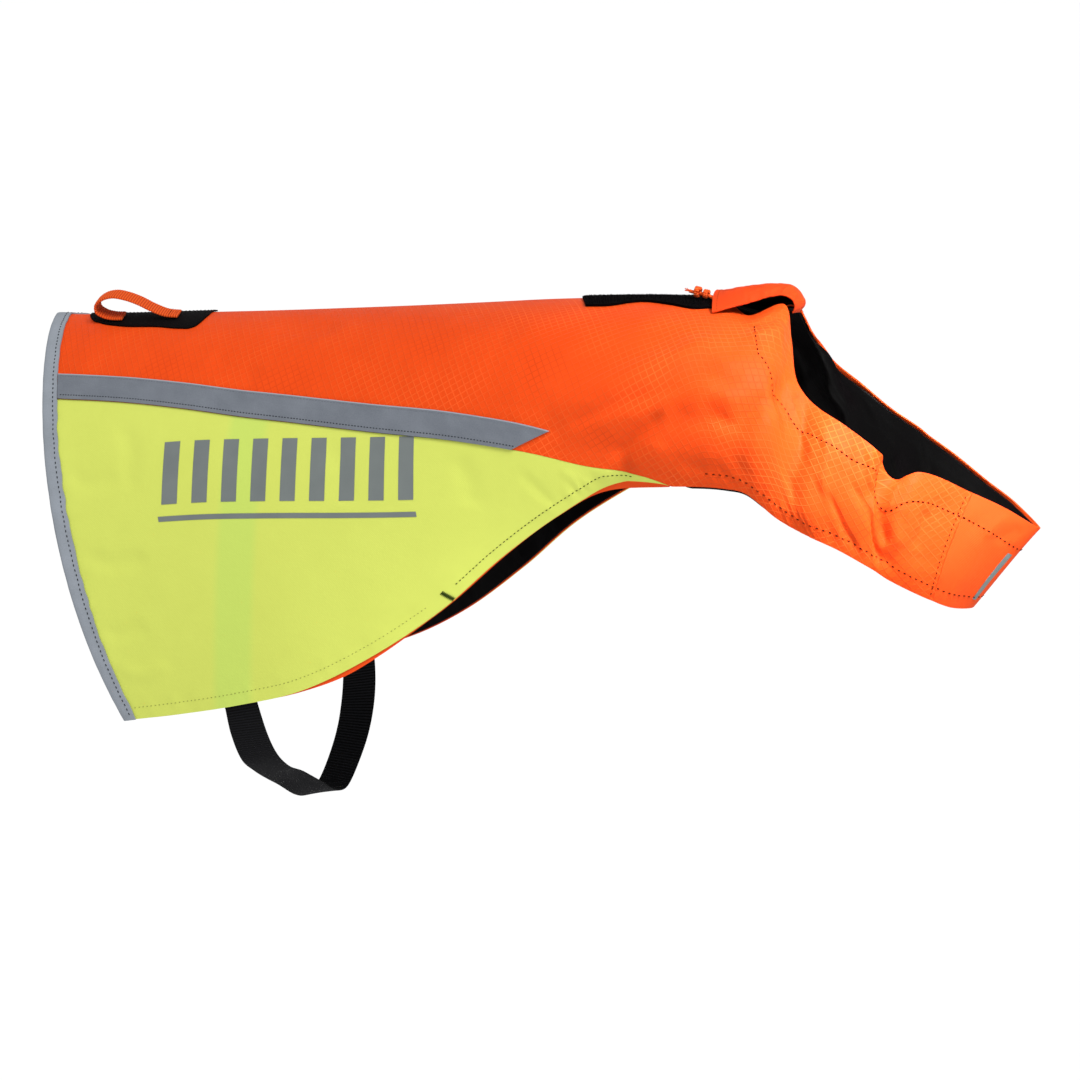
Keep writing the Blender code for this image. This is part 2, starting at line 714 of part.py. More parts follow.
def add_handle(material):
    """The orange webbing handle, one arch with both feet on the patch."""
    path = []
    widths = []
    rows = columns_of(HANDLE_RUN, HANDLE_COLUMNS, "at", "rise")
    for at, rise in smooth_run(rows, HANDLE_STEPS):
        lift = GAP + PATCH_THICK + rise
        upper = cloth(at, HANDLE_DOWN - HANDLE_WIDTH / 2, RIGHT, lift)
        lower = cloth(at, HANDLE_DOWN + HANDLE_WIDTH / 2, RIGHT, lift)
        path.append(cloth(at, HANDLE_DOWN, RIGHT, lift))
        widths.append((upper - lower) / np.linalg.norm(upper - lower) * HANDLE_WIDTH)
    ribbon("handle_loop", path, widths, HANDLE_THICK, material)


def add_tab(material):
    """The folded orange tab that bridges the slit and turns down at the neck edge."""
    rows = np.array(smooth_run(columns_of(TAB_RUN, TAB_COLUMNS, *TAB_COLUMNS), TAB_STEPS))
    rows = rows.reshape(-1, 3, 3)
    shares = np.linspace(0, 1, TAB_ROWS + 1)
    sheet = []
    for right, ridge, left in rows:
        bulge = ridge - (right + left) / 2
        sheet.append([right + (left - right) * t + bulge * 4 * t * (1 - t) for t in shares])
    sheet = np.array(sheet)
    normal = np.cross(np.gradient(sheet, axis=0), np.gradient(sheet, axis=1))
    normal = normal / np.linalg.norm(normal, axis=2, keepdims=True)
    outer = [point for line in sheet + normal * TAB_THICK for point in line]
    inner = [point for line in sheet for point in line]
    triangles = []
    count = len(shares)
    for step in range(len(sheet) - 1):
        for i in range(step * count, step * count + count - 1):
            triangles.append((i, i + count, i + count + 1))
            triangles.append((i, i + count + 1, i + 1))
    wall("neck_tab", outer, inner, triangles, material)


def add_drawcord(material):
    """The knotted and frayed end of the drawcord, where it leaves the tab."""
    rows = smooth_run(columns_of(CORD_END, CORD_COLUMNS, "x", "y", "z", "radius"), CORD_STEPS)
    path = np.array([row[:3] for row in rows])
    along = np.gradient(path, axis=0)
    points = []
    for row, run in zip(rows, along):
        sideways = np.cross(run, (0, 0, 1))
        sideways = sideways / np.linalg.norm(sideways)
        up = np.cross(sideways, run)
        up = up / np.linalg.norm(up)
        for turn in np.linspace(0, 2 * np.pi, CORD_SIDES, endpoint=False):
            points.append(row[:3] + row[3] * (np.cos(turn) * sideways + np.sin(turn) * up))
    add_object("drawcord_end", points, loft_faces(len(rows), CORD_SIDES), material)


def clear_scene():
    for old in list(bpy.data.objects):
        bpy.data.objects.remove(old, do_unlink=True)


def build():
    clear_scene()
    orange = principled("orange_ripstop", (0.95, 0.13, 0.02), 0.6)
    plain_orange = principled("orange_plain_weave", (0.95, 0.16, 0.03), 0.62)
    yellow = principled("yellow_fluorescent_cloth", (0.66, 0.76, 0.12), 0.65)
    grey = principled("silver_reflective_tape", (0.2, 0.22, 0.26), 0.4)
    black = principled("black_coated_lining", (0.012, 0.011, 0.012), 0.45)
    webbing = principled("black_webbing", (0.015, 0.015, 0.016), 0.7)
    loop_pile = principled("black_loop_pile", (0.012, 0.012, 0.013), 0.9)
    orange_webbing = principled("orange_webbing", (0.9, 0.14, 0.03), 0.7)

    add_back_panel(orange)
    add_chest_panel(plain_orange)
    add_back_lining(black)
    for label, side in (("right", RIGHT), ("left", LEFT)):
        add_flank("flank_" + label, side, yellow)
        add_flank_lining("lining_flank_" + label, side, black)
        add_facing("facing_" + label, side, plain_orange)
        add_tape("tape_" + label, side, grey)
    add_binding(grey)
    add_patch(webbing)
    add_handle(orange_webbing)
    add_loop_strip(loop_pile)
    add_tab(plain_orange)
    add_drawcord(orange_webbing)
    add_strap(webbing)


build()
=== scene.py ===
"""Looks of the reflective dog coat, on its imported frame.

Every cloth piece lies on one surface, in millimetres as on a pattern: "at" runs from the
rear hem to the centre of the chest, and "down" from the crest, or the neck edge, over
the side to the lower edge. "Across" is down on the right side and minus it on the left.
"""
import math

import bpy
import numpy as np
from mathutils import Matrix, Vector, noise


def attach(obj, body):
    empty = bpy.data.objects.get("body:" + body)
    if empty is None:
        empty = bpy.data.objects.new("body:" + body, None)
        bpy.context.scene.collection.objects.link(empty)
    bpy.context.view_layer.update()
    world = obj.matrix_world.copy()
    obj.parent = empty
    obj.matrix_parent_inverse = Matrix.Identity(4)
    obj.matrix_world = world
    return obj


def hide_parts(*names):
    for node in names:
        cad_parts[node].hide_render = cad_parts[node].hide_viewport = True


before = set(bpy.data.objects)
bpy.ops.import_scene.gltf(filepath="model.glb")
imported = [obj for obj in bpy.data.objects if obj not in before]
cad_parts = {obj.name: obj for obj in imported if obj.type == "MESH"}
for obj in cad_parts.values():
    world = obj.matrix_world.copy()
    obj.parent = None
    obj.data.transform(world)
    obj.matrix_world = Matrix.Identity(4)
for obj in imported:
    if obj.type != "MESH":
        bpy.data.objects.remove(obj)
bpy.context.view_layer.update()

bpy.ops.object.select_all(action="DESELECT")

# The noise is the same in each run.
noise.seed_set(1)


# The camera. It stands two metres off the right side of the coat, a little ahead of it
# and above it, and aims at the middle of the coat with a long lens.
CAMERA_AIM = Vector((-0.100, 0.0, -0.163))
CAMERA_DISTANCE = 2.2
CAMERA_AZIMUTH = math.radians(20)
CAMERA_ELEVATION = math.radians(10)

camera = bpy.data.objects.new("camera", bpy.data.cameras.new("camera"))
towards_camera = Vector((math.sin(CAMERA_AZIMUTH) * math.cos(CAMERA_ELEVATION),
                         -math.cos(CAMERA_AZIMUTH) * math.cos(CAMERA_ELEVATION),
                         math.sin(CAMERA_ELEVATION)))
camera.location = CAMERA_AIM + towards_camera * CAMERA_DISTANCE
camera.rotation_mode = "QUATERNION"
camera.rotation_quaternion = (-towards_camera).to_track_quat("-Z", "Y")
camera.data.sensor_width = 36
camera.data.lens = 108.64
bpy.context.scene.collection.objects.link(camera)
bpy.context.scene.camera = camera


# The studio. A white floor far below the coat reaches out of sight, and a soft white room is
# all around. A wide light from above, ahead and to the right gives the cloth its light and
# shade, and two faint lamps lift the chest and the flank.
def linear(colour):
    """Linear values of an sRGB hex colour such as "F25422", with alpha 1."""
    parts = [int(colour[i:i + 2], 16) / 255 for i in (0, 2, 4)]
    return tuple(p / 12.92 if p < 0.04045 else ((p + 0.055) / 1.055) ** 2.4 for p in parts) + (1.0,)


def add_node(tree, kind, inputs=None, **settings):
    """A shader node with its settings, and a value or another node's output for each input."""
    added = tree.nodes.new("ShaderNode" + kind)
    for name, value in settings.items():
        setattr(added, name, value)
    for socket, value in (inputs or {}).items():
        if isinstance(value, bpy.types.NodeSocket):
            tree.links.new(value, added.inputs[socket])
        else:
            added.inputs[socket].default_value = value
    return added


def new_material(name):
    """An empty material and its Principled shader."""
    material = bpy.data.materials.new(name)
    material.use_nodes = True
    return material, material.node_tree.nodes["Principled BSDF"]


FLOOR_HEIGHT = -1.3
FLOOR_REACH = 200.0

bpy.ops.mesh.primitive_plane_add(size=2 * FLOOR_REACH, location=(0, 0, FLOOR_HEIGHT))
floor = bpy.context.object
floor.name = "floor"
bpy.ops.object.transform_apply(location=True, rotation=False, scale=False)
floor_paint, shader = new_material("matt_white_studio_paint")
shader.inputs["Base Color"].default_value = linear("F6F6F6")
shader.inputs["Roughness"].default_value = 0.9
shader.inputs["Specular IOR Level"].default_value = 0.1
floor.data.materials.append(floor_paint)

room = bpy.data.worlds.new("white_room")
room.use_nodes = True
room.node_tree.nodes["Background"].inputs["Color"].default_value = linear("FFFFFF")
room.node_tree.nodes["Background"].inputs["Strength"].default_value = 0.5
bpy.context.scene.world = room
bpy.context.scene.view_settings.view_transform = "Standard"


def add_lamp(name, kind, energy, towards, place=(0, 0, 0), **settings):
    """A lamp at a place, which shines in a direction."""
    lamp = bpy.data.objects.new(name, bpy.data.lights.new(name, kind))
    lamp.data.energy = energy
    for setting, value in settings.items():
        setattr(lamp.data, setting, value)
    lamp.location = place
    lamp.rotation_mode = "QUATERNION"
    lamp.rotation_quaternion = Vector(towards).to_track_quat("-Z", "Y")
    bpy.context.scene.collection.objects.link(lamp)


add_lamp("chest_light", "AREA", 0.75, (-0.27, 0.23, -0.41), (0.42, -0.26, 0.30), size=0.20,
         spread=math.radians(42))
add_lamp("flank_light", "AREA", 0.2, (0.45, 1.61, -0.38), (-0.75, -1.7, 0.2), size=0.9,
         spread=math.radians(120))
add_lamp("ceiling_light", "SUN", 2.63, (-0.50, 0.45, -0.74), angle=math.radians(30))


# The back. One piece of orange ripstop nylon lies over the crest, is slit at the neck, and
# runs on as both sides of the chest band. It is turned and stitched at the neck and the hem.
MM = 0.001
RIGHT = -1
LEFT = 1
SIDES = (("right", RIGHT), ("left", LEFT))
SHELL = 1.0
LINING = 1.0
FACING = 1.0
TAPE = 1.0
GAP = 0.3
BINDING_WIDTH = 10.0
FLANK_TIP = 446.0
SLIT_APEX = 487.0
CHEST_SEAM = 691.0
CENTRE_FRONT = 735.0
HEM_BOW_HIGH = 4.0
HEM_BOW_LOW = 27.0
HEM_BOW_LENGTH = 200.0

# The cut of the coat: cross sections of its right half, each one Bezier arc. One more than
# the solids have, at 638.5, gives the pinch in the neck edge its sharp side.
SECTION_COLUMNS = ("at", "top_x", "top_y", "top_z", "out", "down", "swell", "up",
                   "low_x", "low_y", "low_z")
SECTIONS = (
    (0, -461, 0, -23, 80, 4, 30, 124, -368, 92, -289),
    (50, -408, 0, -21.5, 86, 1, 25, 150, -325, 93, -281),
    (100, -355, 0, -18.3, 88, 0, 21, 162, -281, 95, -271),
    (150, -305, 0, -15.4, 88, 0, 20, 158, -236, 95, -258),
    (205, -250, 0, -11.8, 88, 0, 22, 142, -188, 89, -233),
    (260, -195, 0, -8, 88, 0, 28, 118, -141, 80, -200),
    (315, -140, 0, -3.8, 88, 0, 32, 90, -98, 74, -161),
    (360, -95, 0, -0.2, 88, 0, 32, 66, -60, 73, -132),
    (405, -50, 0, 2.2, 88, 0, 30, 54, -26, 73, -113),
    (445, -10, 0, 3.6, 86, 0, 30, 54, 14, 76, -109),
    (487, 32, 0, 2.3, 80, 3, 30, 57, 53, 78, -108),
    (505, 48, 14, -4, 62, 2, 28, 60, 66, 78, -110),
    (530, 72, 9, 3, 60, 16, 24, 62, 86, 76, -125),
    (550, 80, 22, -18, 40, 18, 22, 50, 98, 74, -132),
    (568, 90, 44, -41, 22, 16, 18, 40, 108, 72, -137),
    (588, 107, 54, -56, 14, 18, 12, 36, 117, 70, -141),
    (610, 127, 56, -68, 12, 20, 10, 34, 127, 67, -146),
    (632, 146, 55, -81.5, 10, 20, 10, 30, 140, 62, -154),
    (638.5, 152, 53, -87, 9, 18, 10, 29, 143.5, 60.3, -156.3),
    (643, 154, 50, -97, 8, 14, 10, 28, 146, 59, -158),
    (660, 171, 43, -96, 10, 18, 10, 28, 154, 55, -164),
    (690, 200, 25, -110, 10, 20, 10, 26, 178, 34, -180),
    (715, 222, 13, -122, 8, 18, 8, 22, 190, 18, -187),
    (735, 240, 0, -135, 0, 16, 0, 18, 198, 0, -189),
)

# Sections that the left half has in their place: its neck edge has no pinch.
LEFT_SECTIONS = (
    (260, -195, 0, -8, 88, 0, 28, 118, -141, 80, -198),
    (360, -95, 0, -0.2, 88, 0, 32, 66, -60, 73, -136),
    (405, -50, 0, 2.2, 88, 0, 30, 54, -26, 73, -118),
    (445, -10, 0, 3.6, 86, 0, 30, 54, 14, 76, -113),
    (530, 74, 10, 1.5, 38, 28, 24, 62, 86, 76, -125),
    (550, 83, 22, -18.5, 24, 28, 22, 50, 98, 74, -132),
    (568, 91, 43, -38, 16, 20, 18, 40, 108, 72, -137),
    (588, 107, 54, -53.5, 14, 18, 12, 36, 117, 70, -141),
    (610, 127, 56, -69.5, 12, 20, 10, 34, 127, 67, -146),
    (632, 149, 55, -83, 10, 20, 10, 30, 140, 62, -154),
    (638.5, 154, 52, -86, 9, 20, 10, 29, 143.5, 60.3, -156.3),
    (643, 158, 50, -88, 8, 20, 10, 28, 146, 59, -158),
    (660, 172, 43, -95, 10, 18, 10, 28, 154, 55, -164),
)
SEAM = {"at": (0, 60, 100, 140, 185, 230, 300, 340, 390, 430, 448),
        "down": (93.5, 103.8, 111.6, 118.5, 124.3, 130, 138.5, 146, 158.5, 167.3, 175)}

# The largest folds, which the solids have too: soft ridges and troughs in the side view. The
# first four are lower than the solids', because creases share their place. Each has its side,
# the x and z that it runs from and to, its width and its height.
FOLDS = (
    (RIGHT, -45, -70, 60, -30, 10, 2.0),
    (RIGHT, 20, -50, -22, -90, 11, -1.2),
    (RIGHT, 82, -50, 28, -66, 10, -1.0),
    (RIGHT, 100, -58, 94, -108, 9, -2.5),
    (RIGHT, 112, -72, 108, -118, 9, 2.0),
    (RIGHT, 152, -90, 147, -108, 7, -5.0),
    (RIGHT, 163, -104, 160, -116, 8, 2.5),
    (RIGHT, 150, -118, 150, -146, 8, -2.0),
    (RIGHT, 183, -118, 176, -150, 8, -1.8),
    (LEFT, -30, -66, 50, -38, 11, 3.0),
    (LEFT, 16, -60, -14, -92, 11, -2.5),
    (LEFT, 88, -60, 40, -76, 10, -3.0),
    (LEFT, 104, -66, 99, -104, 9, -3.0),
    (LEFT, 140, -88, 134, -112, 8, -3.0),
    (LEFT, 176, -112, 168, -140, 9, -2.0),
)
FOLD_FADE = 24.0
EDGE_FADE = 40.0

# The finer creases: the width, the height (a trough is below 0), and the places along each
# as (at, across).
CREASES = (
    (8.5, 3.2, ((366, 126), (394, 116), (419, 106), (443, 97), (465, 89), (488, 70), (503, 48))),
    (4.6, -2.2, ((361, 142), (400, 126), (420, 119), (444, 113), (467, 108), (491, 93), (510, 71),
                 (528, 55))),
    (10.0, -1.8, ((368, 98), (400, 94), (431, 85), (453, 71), (474, 60))),
    (4.6, -2.8, ((411, 159), (420, 149), (434, 138), (447, 128), (455, 121))),
    (5.5, 1.8, ((422, 164), (437, 152), (452, 140))),
    (5.5, 2.0, ((463, 126), (476, 119), (496, 99), (515, 82))),
    (5.0, -2.8, ((466, 138), (479, 131), (499, 112), (516, 100), (533, 89), (548, 56), (563, 19))),
    (9.0, 3.0, ((546, 64), (536, 92), (526, 112), (517, 126), (509, 139))),
    (5.0, -3.2, ((580, 2), (579, 14), (576, 29), (573, 47), (561, 80), (547, 123))),
    (6.0, 2.4, ((598, 8), (597, 28), (594, 42), (588, 58))),
    (3.0, -2.2, ((506, 32), (514, 27), (522, 27), (531, 17), (538, 6))),
    (3.2, 1.6, ((512, 40), (521, 42), (530, 36), (541, 18))),
    (3.0, -1.5, ((524, 62), (532, 50), (540, 36))),
    (2.8, -1.6, ((640, 2), (640, 10), (641, 22))),
    (3.2, 2.2, ((648, 0), (647, 10), (649, 24))),
    (3.6, 2.2, ((630, 0), (631, 12), (634, 26))),
    (3.0, -2.4, ((640, 17), (646, 30), (656, 50))),
    (3.6, 1.5, ((650, 22), (656, 36), (664, 52))),
    (2.8, -1.9, ((672, 20), (674, 34), (673, 50))),
    (3.4, 1.3, ((664, 20), (665, 36), (661, 56))),
    (4.2, -2.2, ((612, 30), (632, 38), (650, 54), (668, 70))),
    (4.0, -1.7, ((596, 48), (612, 62), (628, 72))),
    (2.6, -2.0, ((719, 22), (722, 13), (725, 4))),
    (2.8, 1.3, ((712, 24), (714, 12), (716, 3))),
    (6.0, -0.9, ((456, 162), (469, 162), (480, 163), (497, 153))),
    (9.0, -1.2, ((118, 74), (138, 82), (162, 90))),
    (13.0, -1.3, ((160, 40), (190, 47), (222, 42))),
    (14.0, 1.0, ((232, 62), (262, 78), (286, 100))),
    (12.0, -0.9, ((300, 30), (330, 46), (352, 72))),
    (10.0, 0.9, ((40, 30), (30, 56), (22, 84))),
    (7.0, -0.9, ((56, 114), (60, 140), (52, 168))),
    (9.0, -0.9, ((206, 134), (212, 158), (208, 182))),
    (8.0, -0.8, ((296, 146), (304, 168), (300, 186))),
    (6.0, -1.0, ((12, 152), (30, 158), (52, 156))),
    (6.0, -1.1, ((11, 206), (34, 214), (62, 210))),
    (5.0, -0.8, ((11, 262), (30, 262), (48, 256))),
    (5.0, 0.8, ((11, 288), (34, 292), (56, 284))),
    (4.5, -0.5, ((340, 160), (352, 176), (358, 190))),
    (4.5, 0.4, ((370, 158), (380, 168), (384, 180))),
    (6.0, 1.8, ((372, -132), (410, -118), (446, -106), (486, -92), (512, -70))),
    (4.8, -1.8, ((414, -156), (430, -136), (452, -116), (470, -106))),
    (5.2, -1.8, ((456, -138), (488, -118), (514, -94), (536, -70))),
    (4.6, -2.0, ((572, -8), (568, -34), (560, -66), (548, -112))),
    (5.2, 1.5, ((584, -10), (580, -40), (570, -76), (560, -116))),
    (5.0, -1.2, ((606, -30), (624, -48), (650, -62))),
    (3.4, -1.2, ((640, -10), (650, -28), (652, -46))),
    (2.8, 0.9, ((668, -14), (670, -34), (664, -52))),
    (2.8, -1.2, ((720, -24), (723, -12), (725, -4))),
    (4.4, 1.2, ((440, -26), (462, -38), (488, -44), (512, -40))),
    (10.0, -1.1, ((110, -70), (136, -80), (170, -86))),
    (14.0, -1.2, ((170, -36), (204, -50), (236, -46))),
    (12.0, 1.0, ((250, -66), (276, -84), (300, -104))),
    (7.0, -0.9, ((72, -118), (74, -144), (66, -170))),
    (9.0, -0.9, ((190, -132), (198, -160), (190, -184))),
    (6.0, -1.0, ((11, -168), (34, -174), (60, -170))),
    (5.5, -1.0, ((11, -232), (32, -238), (58, -232))),
    (4.0, -0.9, ((346, -160), (356, -176), (360, -190))),
)
CELL = 2.2
REAR_CELL = 2.8
FRONT_CELL = 1.7
FRONT_FROM = 350.0


def hermite(knots, values, x):
    """Smooth curve through the values at the knots, straight beyond the first and last."""
    knots = np.asarray(knots, dtype=float)
    values = np.asarray(values, dtype=float)
    x = np.asarray(x, dtype=float)
    slopes = np.gradient(values, knots, axis=0)
    i = np.clip(np.searchsorted(knots, x, side="right") - 1, 0, len(knots) - 2)
    shape = x.shape + (1,) * (values.ndim - 1)
    h = (knots[i + 1] - knots[i]).reshape(shape)
    s = (x - knots[i]).reshape(shape) / h
    t = np.clip(s, 0, 1)
    rise = t * t * (3 - 2 * t)
    bend = slopes[i] * (t * (1 - t) ** 2) + slopes[i + 1] * (t * t * (t - 1))
    beyond = np.minimum(s, 0) * h * slopes[0] + np.maximum(s - 1, 0) * h * slopes[-1]
    return values[i] * (1 - rise) + values[i + 1] * rise + h * bend + beyond


def section_controls(side):
    """Places and Bezier points of one side's sections, and one mirrored one past the front."""
    changed = {row[0]: row for row in LEFT_SECTIONS} if side == LEFT else {}
    rows = [changed.get(row[0], row) for row in SECTIONS]
    column = dict(zip(SECTION_COLUMNS, np.array(rows, dtype=float).T))
    top = np.stack([column["top_x"], -column["top_y"], column["top_z"]], axis=1)
    low = np.stack([column["low_x"], -column["low_y"], column["low_z"]], axis=1)
    third = (low[:, 0] - top[:, 0]) / 3
    bow = np.clip(1 - column["at"] / HEM_BOW_LENGTH, 0, 1) ** 2
    upper = top + np.stack([third - HEM_BOW_HIGH * bow, -column["out"], -column["down"]], axis=1)
    lower = low + np.stack([-third - HEM_BOW_LOW * bow, -column["swell"], column["up"]], axis=1)
    controls = np.stack([top, upper, lower, low], axis=1)
    mirrored = controls[-2] * np.array([1, -1, 1])
    knots = np.append(column["at"], 2 * column["at"][-1] - column["at"][-2])
    return knots, np.concatenate([controls, mirrored[None]], axis=0)


CONTROLS = {side: section_controls(side) for side in (RIGHT, LEFT)}
ARC_STEPS = 48
ARC = np.linspace(0, 1, ARC_STEPS + 1)
ARC_WEIGHTS = np.stack([(1 - ARC) ** 3, 3 * (1 - ARC) ** 2 * ARC,
                        3 * (1 - ARC) * ARC ** 2, ARC ** 3], axis=1)


def arcs(at, side):
    """Points down each different section, the lengths to them, and each place's section."""
    different, which = np.unique(np.round(at, 6), return_inverse=True)
    controls = hermite(*CONTROLS[side], different)
    points = np.einsum("sk,nkj->nsj", ARC_WEIGHTS, controls)
    steps = np.linalg.norm(np.diff(points, axis=1), axis=2)
    lengths = np.concatenate([np.zeros((len(different), 1)), np.cumsum(steps, axis=1)], axis=1)
    return points, lengths, which.reshape(-1)


def depth(at, side=RIGHT):
    """Length of cloth from the top edge to the lower edge."""
    at = np.asarray(at, dtype=float)
    lengths, which = arcs(at.ravel(), side)[1:]
    return lengths[which, -1].reshape(at.shape)


def on_section(at, share, side):
    """The points at shares of their sections' lengths, straight on past either edge."""
    points, lengths, which = arcs(at, side)
    reach = share * lengths[which, -1]
    i = np.clip((lengths[which] < reach[:, None]).sum(axis=1) - 1, 0, ARC_STEPS - 1)
    s = ((reach - lengths[which, i]) / (lengths[which, i + 1] - lengths[which, i]))[:, None]
    return points[which, i] * (1 - s) + points[which, i + 1] * s


def seam_down(at, side=RIGHT):
    """How far down the orange cloth reaches: to the seam, or to the lower edge ahead of it."""
    return np.minimum(hermite(SEAM["at"], SEAM["down"], at), depth(at, side))


def ease(x):
    """From 0 to 1, flat at both ends."""
    x = np.clip(x, 0, 1)
    return x * x * (3 - 2 * x)


def stretch(x, start, rise, end, fall):
    """1 on a stretch: it rises after the start, and falls before the end."""
    return ease((x - start) / rise) * ease((end - x) / fall)


def fold_height(points, side):
    """How far the largest folds move each point of the surface out or in."""
    height = np.zeros(len(points))
    for fold_side, from_x, from_z, to_x, to_z, width, rise in FOLDS:
        if fold_side == side:
            start = np.array([from_x, from_z], dtype=float)
            line = np.array([to_x, to_z], dtype=float) - start
            spot = points[:, [0, 2]] - start
            along = np.clip(spot @ line / (line @ line), 0, 1)
            off = np.linalg.norm(spot - along[:, None] * line, axis=1) / width
            height += rise * np.exp(-off * off)
    return height


def beside(line, spots):
    """How far each spot is off a line of places, how far along the line, and its length."""
    best = np.full(len(spots), 1e9)
    where = np.zeros(len(spots))
    passed = 0.0
    for start, end in zip(line, line[1:]):
        run = end - start
        t = np.clip((spots - start) @ run / (run @ run), 0, 1)
        off = np.linalg.norm(spots - start - t[:, None] * run, axis=1)
        closer = off < best
        where = np.where(closer, passed + t * np.linalg.norm(run), where)
        best = np.minimum(best, off)
        passed += np.linalg.norm(run)
    return best, where, passed


def within(line, spots, reach):
    """Which spots are near enough to a line to matter."""
    return ((spots > line.min(axis=0) - reach) & (spots < line.max(axis=0) + reach)).all(axis=1)


# Where the cloth is sewn through, as (at, across): the drawcord's casing round the neck on
# either side, and lines that follow the chest's lower edge, the flank's edge and the hem.
CASING_RIGHT = ((514, 26.5), (521, 60.5), (528, 67), (538, 75), (544.5, 62), (567, 35), (579.5, 25),
                (599, 19), (619, 17), (636, 11), (640, 21), (654, 22.7), (673, 17.4), (693, 17),
                (711, 18), (735, 19))
CASING_LEFT = ((514, -26.5), (521, -58), (529, -66), (538, -70), (546, -58), (567, -34),
               (580, -24), (599, -18.5), (619, -17), (640, -18), (660, -18), (680, -17.4),
               (700, -17), (735, -19))
BAND_HEM = 10.0
BAND_HEM_REAR = 473.0
TOPSTITCH = 8.5
HEM_STITCH_AT = 7.0
YELLOW_RAISED = {"at": (385, 400, 412, 420, 430, 440, 446),
                 "by": (0, 1.6, 3.2, 4.2, 3.6, 2.4, 1.4)}


def yellow_low(at, side):
    """The yellow cloth's lower edge, which turns up a little near its tip."""
    low = depth(at, side)
    raised = np.where(at > YELLOW_RAISED["at"][0], hermite(YELLOW_RAISED["at"], YELLOW_RAISED["by"],
                                                           np.clip(at, 385, 446)), 0.0)
    return low - np.minimum(raised, 0.75 * (low - seam_down(at, side)))


def band_hem_line(side):
    """Places of the stitches above the chest band's lower edge."""
    at = np.linspace(BAND_HEM_REAR, CENTRE_FRONT, 36)
    return np.stack([at, -side * (depth(at, side) - BAND_HEM)], axis=1)


def topstitch_line(side, start=12.0, stop=424.0):
    """Places of the stitches inside the yellow edge."""
    at = np.linspace(start, stop, 60)
    low = yellow_low(at, side)
    down = low - np.minimum(TOPSTITCH, 0.6 * (low - seam_down(at, side)))
    return np.stack([at, -side * down], axis=1)


# Puckers that the stitches pull into the cloth beside them: how far they reach from the
# line, their height and spacing, a number that makes each row differ, and the line.
PUCKERS = [
    (8.0, 0.7, 7.4, 1.3, np.array(CASING_RIGHT)),
    (8.0, 0.7, 7.8, 2.7, np.array(CASING_LEFT)),
    (6.0, 0.5, 6.4, 3.1, band_hem_line(RIGHT)),
    (6.0, 0.5, 6.8, 4.9, band_hem_line(LEFT)),
    (6.0, 0.35, 8.2, 5.3, topstitch_line(RIGHT)),
    (6.0, 0.35, 8.4, 6.1, topstitch_line(LEFT)),
    (6.0, 0.5, 5.0, 7.7, topstitch_line(RIGHT, 350.0)),
    (6.0, 0.5, 5.2, 8.9, topstitch_line(LEFT, 350.0)),
    (8.0, 0.6, 8.5, 9.5, np.array(((HEM_STITCH_AT, -331), (HEM_STITCH_AT, 331)))),
    (5.0, 0.4, 6.2, 11.3, np.array(((CHEST_SEAM, 0), (CHEST_SEAM, 74)))),
    (5.0, 0.4, 6.4, 12.9, np.array(((CHEST_SEAM, 0), (CHEST_SEAM, -74)))),
]


def crease_height(at, across):
    """How far the finer creases and the puckers move each place out or in."""
    height = np.zeros(len(at))
    spots = np.stack([at, across], axis=1)
    for width, rise, places in CREASES:
        line = np.array(places, dtype=float)
        near = within(line, spots, 3 * width)
        if near.any():
            off, where, total = beside(line, spots[near])
            ends = ease(where / total / 0.25) * ease((1 - where / total) / 0.25)
            height[near] += rise * ends * np.exp(-(off / width) ** 2)
    for reach, rise, spacing, seed, line in PUCKERS:
        near = within(line, spots, 2.5 * reach)
        if near.any():
            off, where, total = beside(line, spots[near])
            steps = np.arange(0, total / spacing + 1, 0.125)
            waves = [noise.noise((step, seed, 0.5)) for step in steps]
            wave = np.interp(where / spacing, steps, waves)
            height[near] += 1.5 * rise * wave * np.exp(-(off / reach) ** 2)
    return height


def unit(vectors):
    """The same vectors with length 1."""
    return vectors / np.linalg.norm(vectors, axis=-1, keepdims=True)


def cloth(at, down, side, lift=0.0):
    """Points of the coat in millimetres, at those places of one side, over the shell's face."""
    at, down, lift = np.broadcast_arrays(*(np.asarray(x, dtype=float) for x in (at, down, lift)))
    shape = at.shape
    at, down, lift = at.ravel(), down.ravel(), lift.ravel()
    crest = (np.abs(down) < 1e-6) & (at <= SLIT_APEX)
    length = depth(at, side)
    share = down / length
    step = 0.5
    points = on_section(at, share, side)
    along = on_section(at + step, share, side) - on_section(at - step, share, side)
    more = step / length
    across = on_section(at, share + more, side) - on_section(at, share - more, side)
    normal = np.cross(across, along)
    middle = crest | (at >= CENTRE_FRONT)
    normal[middle, 1] = 0
    normal = unit(normal)
    front = ease((CENTRE_FRONT - at) / FOLD_FADE)
    calm = np.where(at < SLIT_APEX, ease(down / FOLD_FADE), 1)
    stiff = ease(down / EDGE_FADE) if side == LEFT else 1
    stiff = np.where(at > SLIT_APEX + FOLD_FADE, stiff, 1)
    rise = calm * fold_height(points, side) + crease_height(at, -side * down)
    points = points + normal * (lift + front * stiff * rise)[:, None]
    points[middle, 1] = 0
    if side == LEFT and crest.any():
        points[crest] = cloth(at[crest], 0.0, RIGHT, lift[crest])
    return (points * np.array([1, -side, 1])).reshape(shape + (3,))


def over(at, across, lift=0.0):
    """Points of the coat at places on both sides, whose across is below 0 on the left."""
    at, across, lift = np.broadcast_arrays(at, across, lift)
    right = cloth(at, np.maximum(across, 0), RIGHT, lift)
    left = cloth(at, np.maximum(-across, 0), LEFT, lift)
    return np.where((across >= 0)[..., None], right, left)


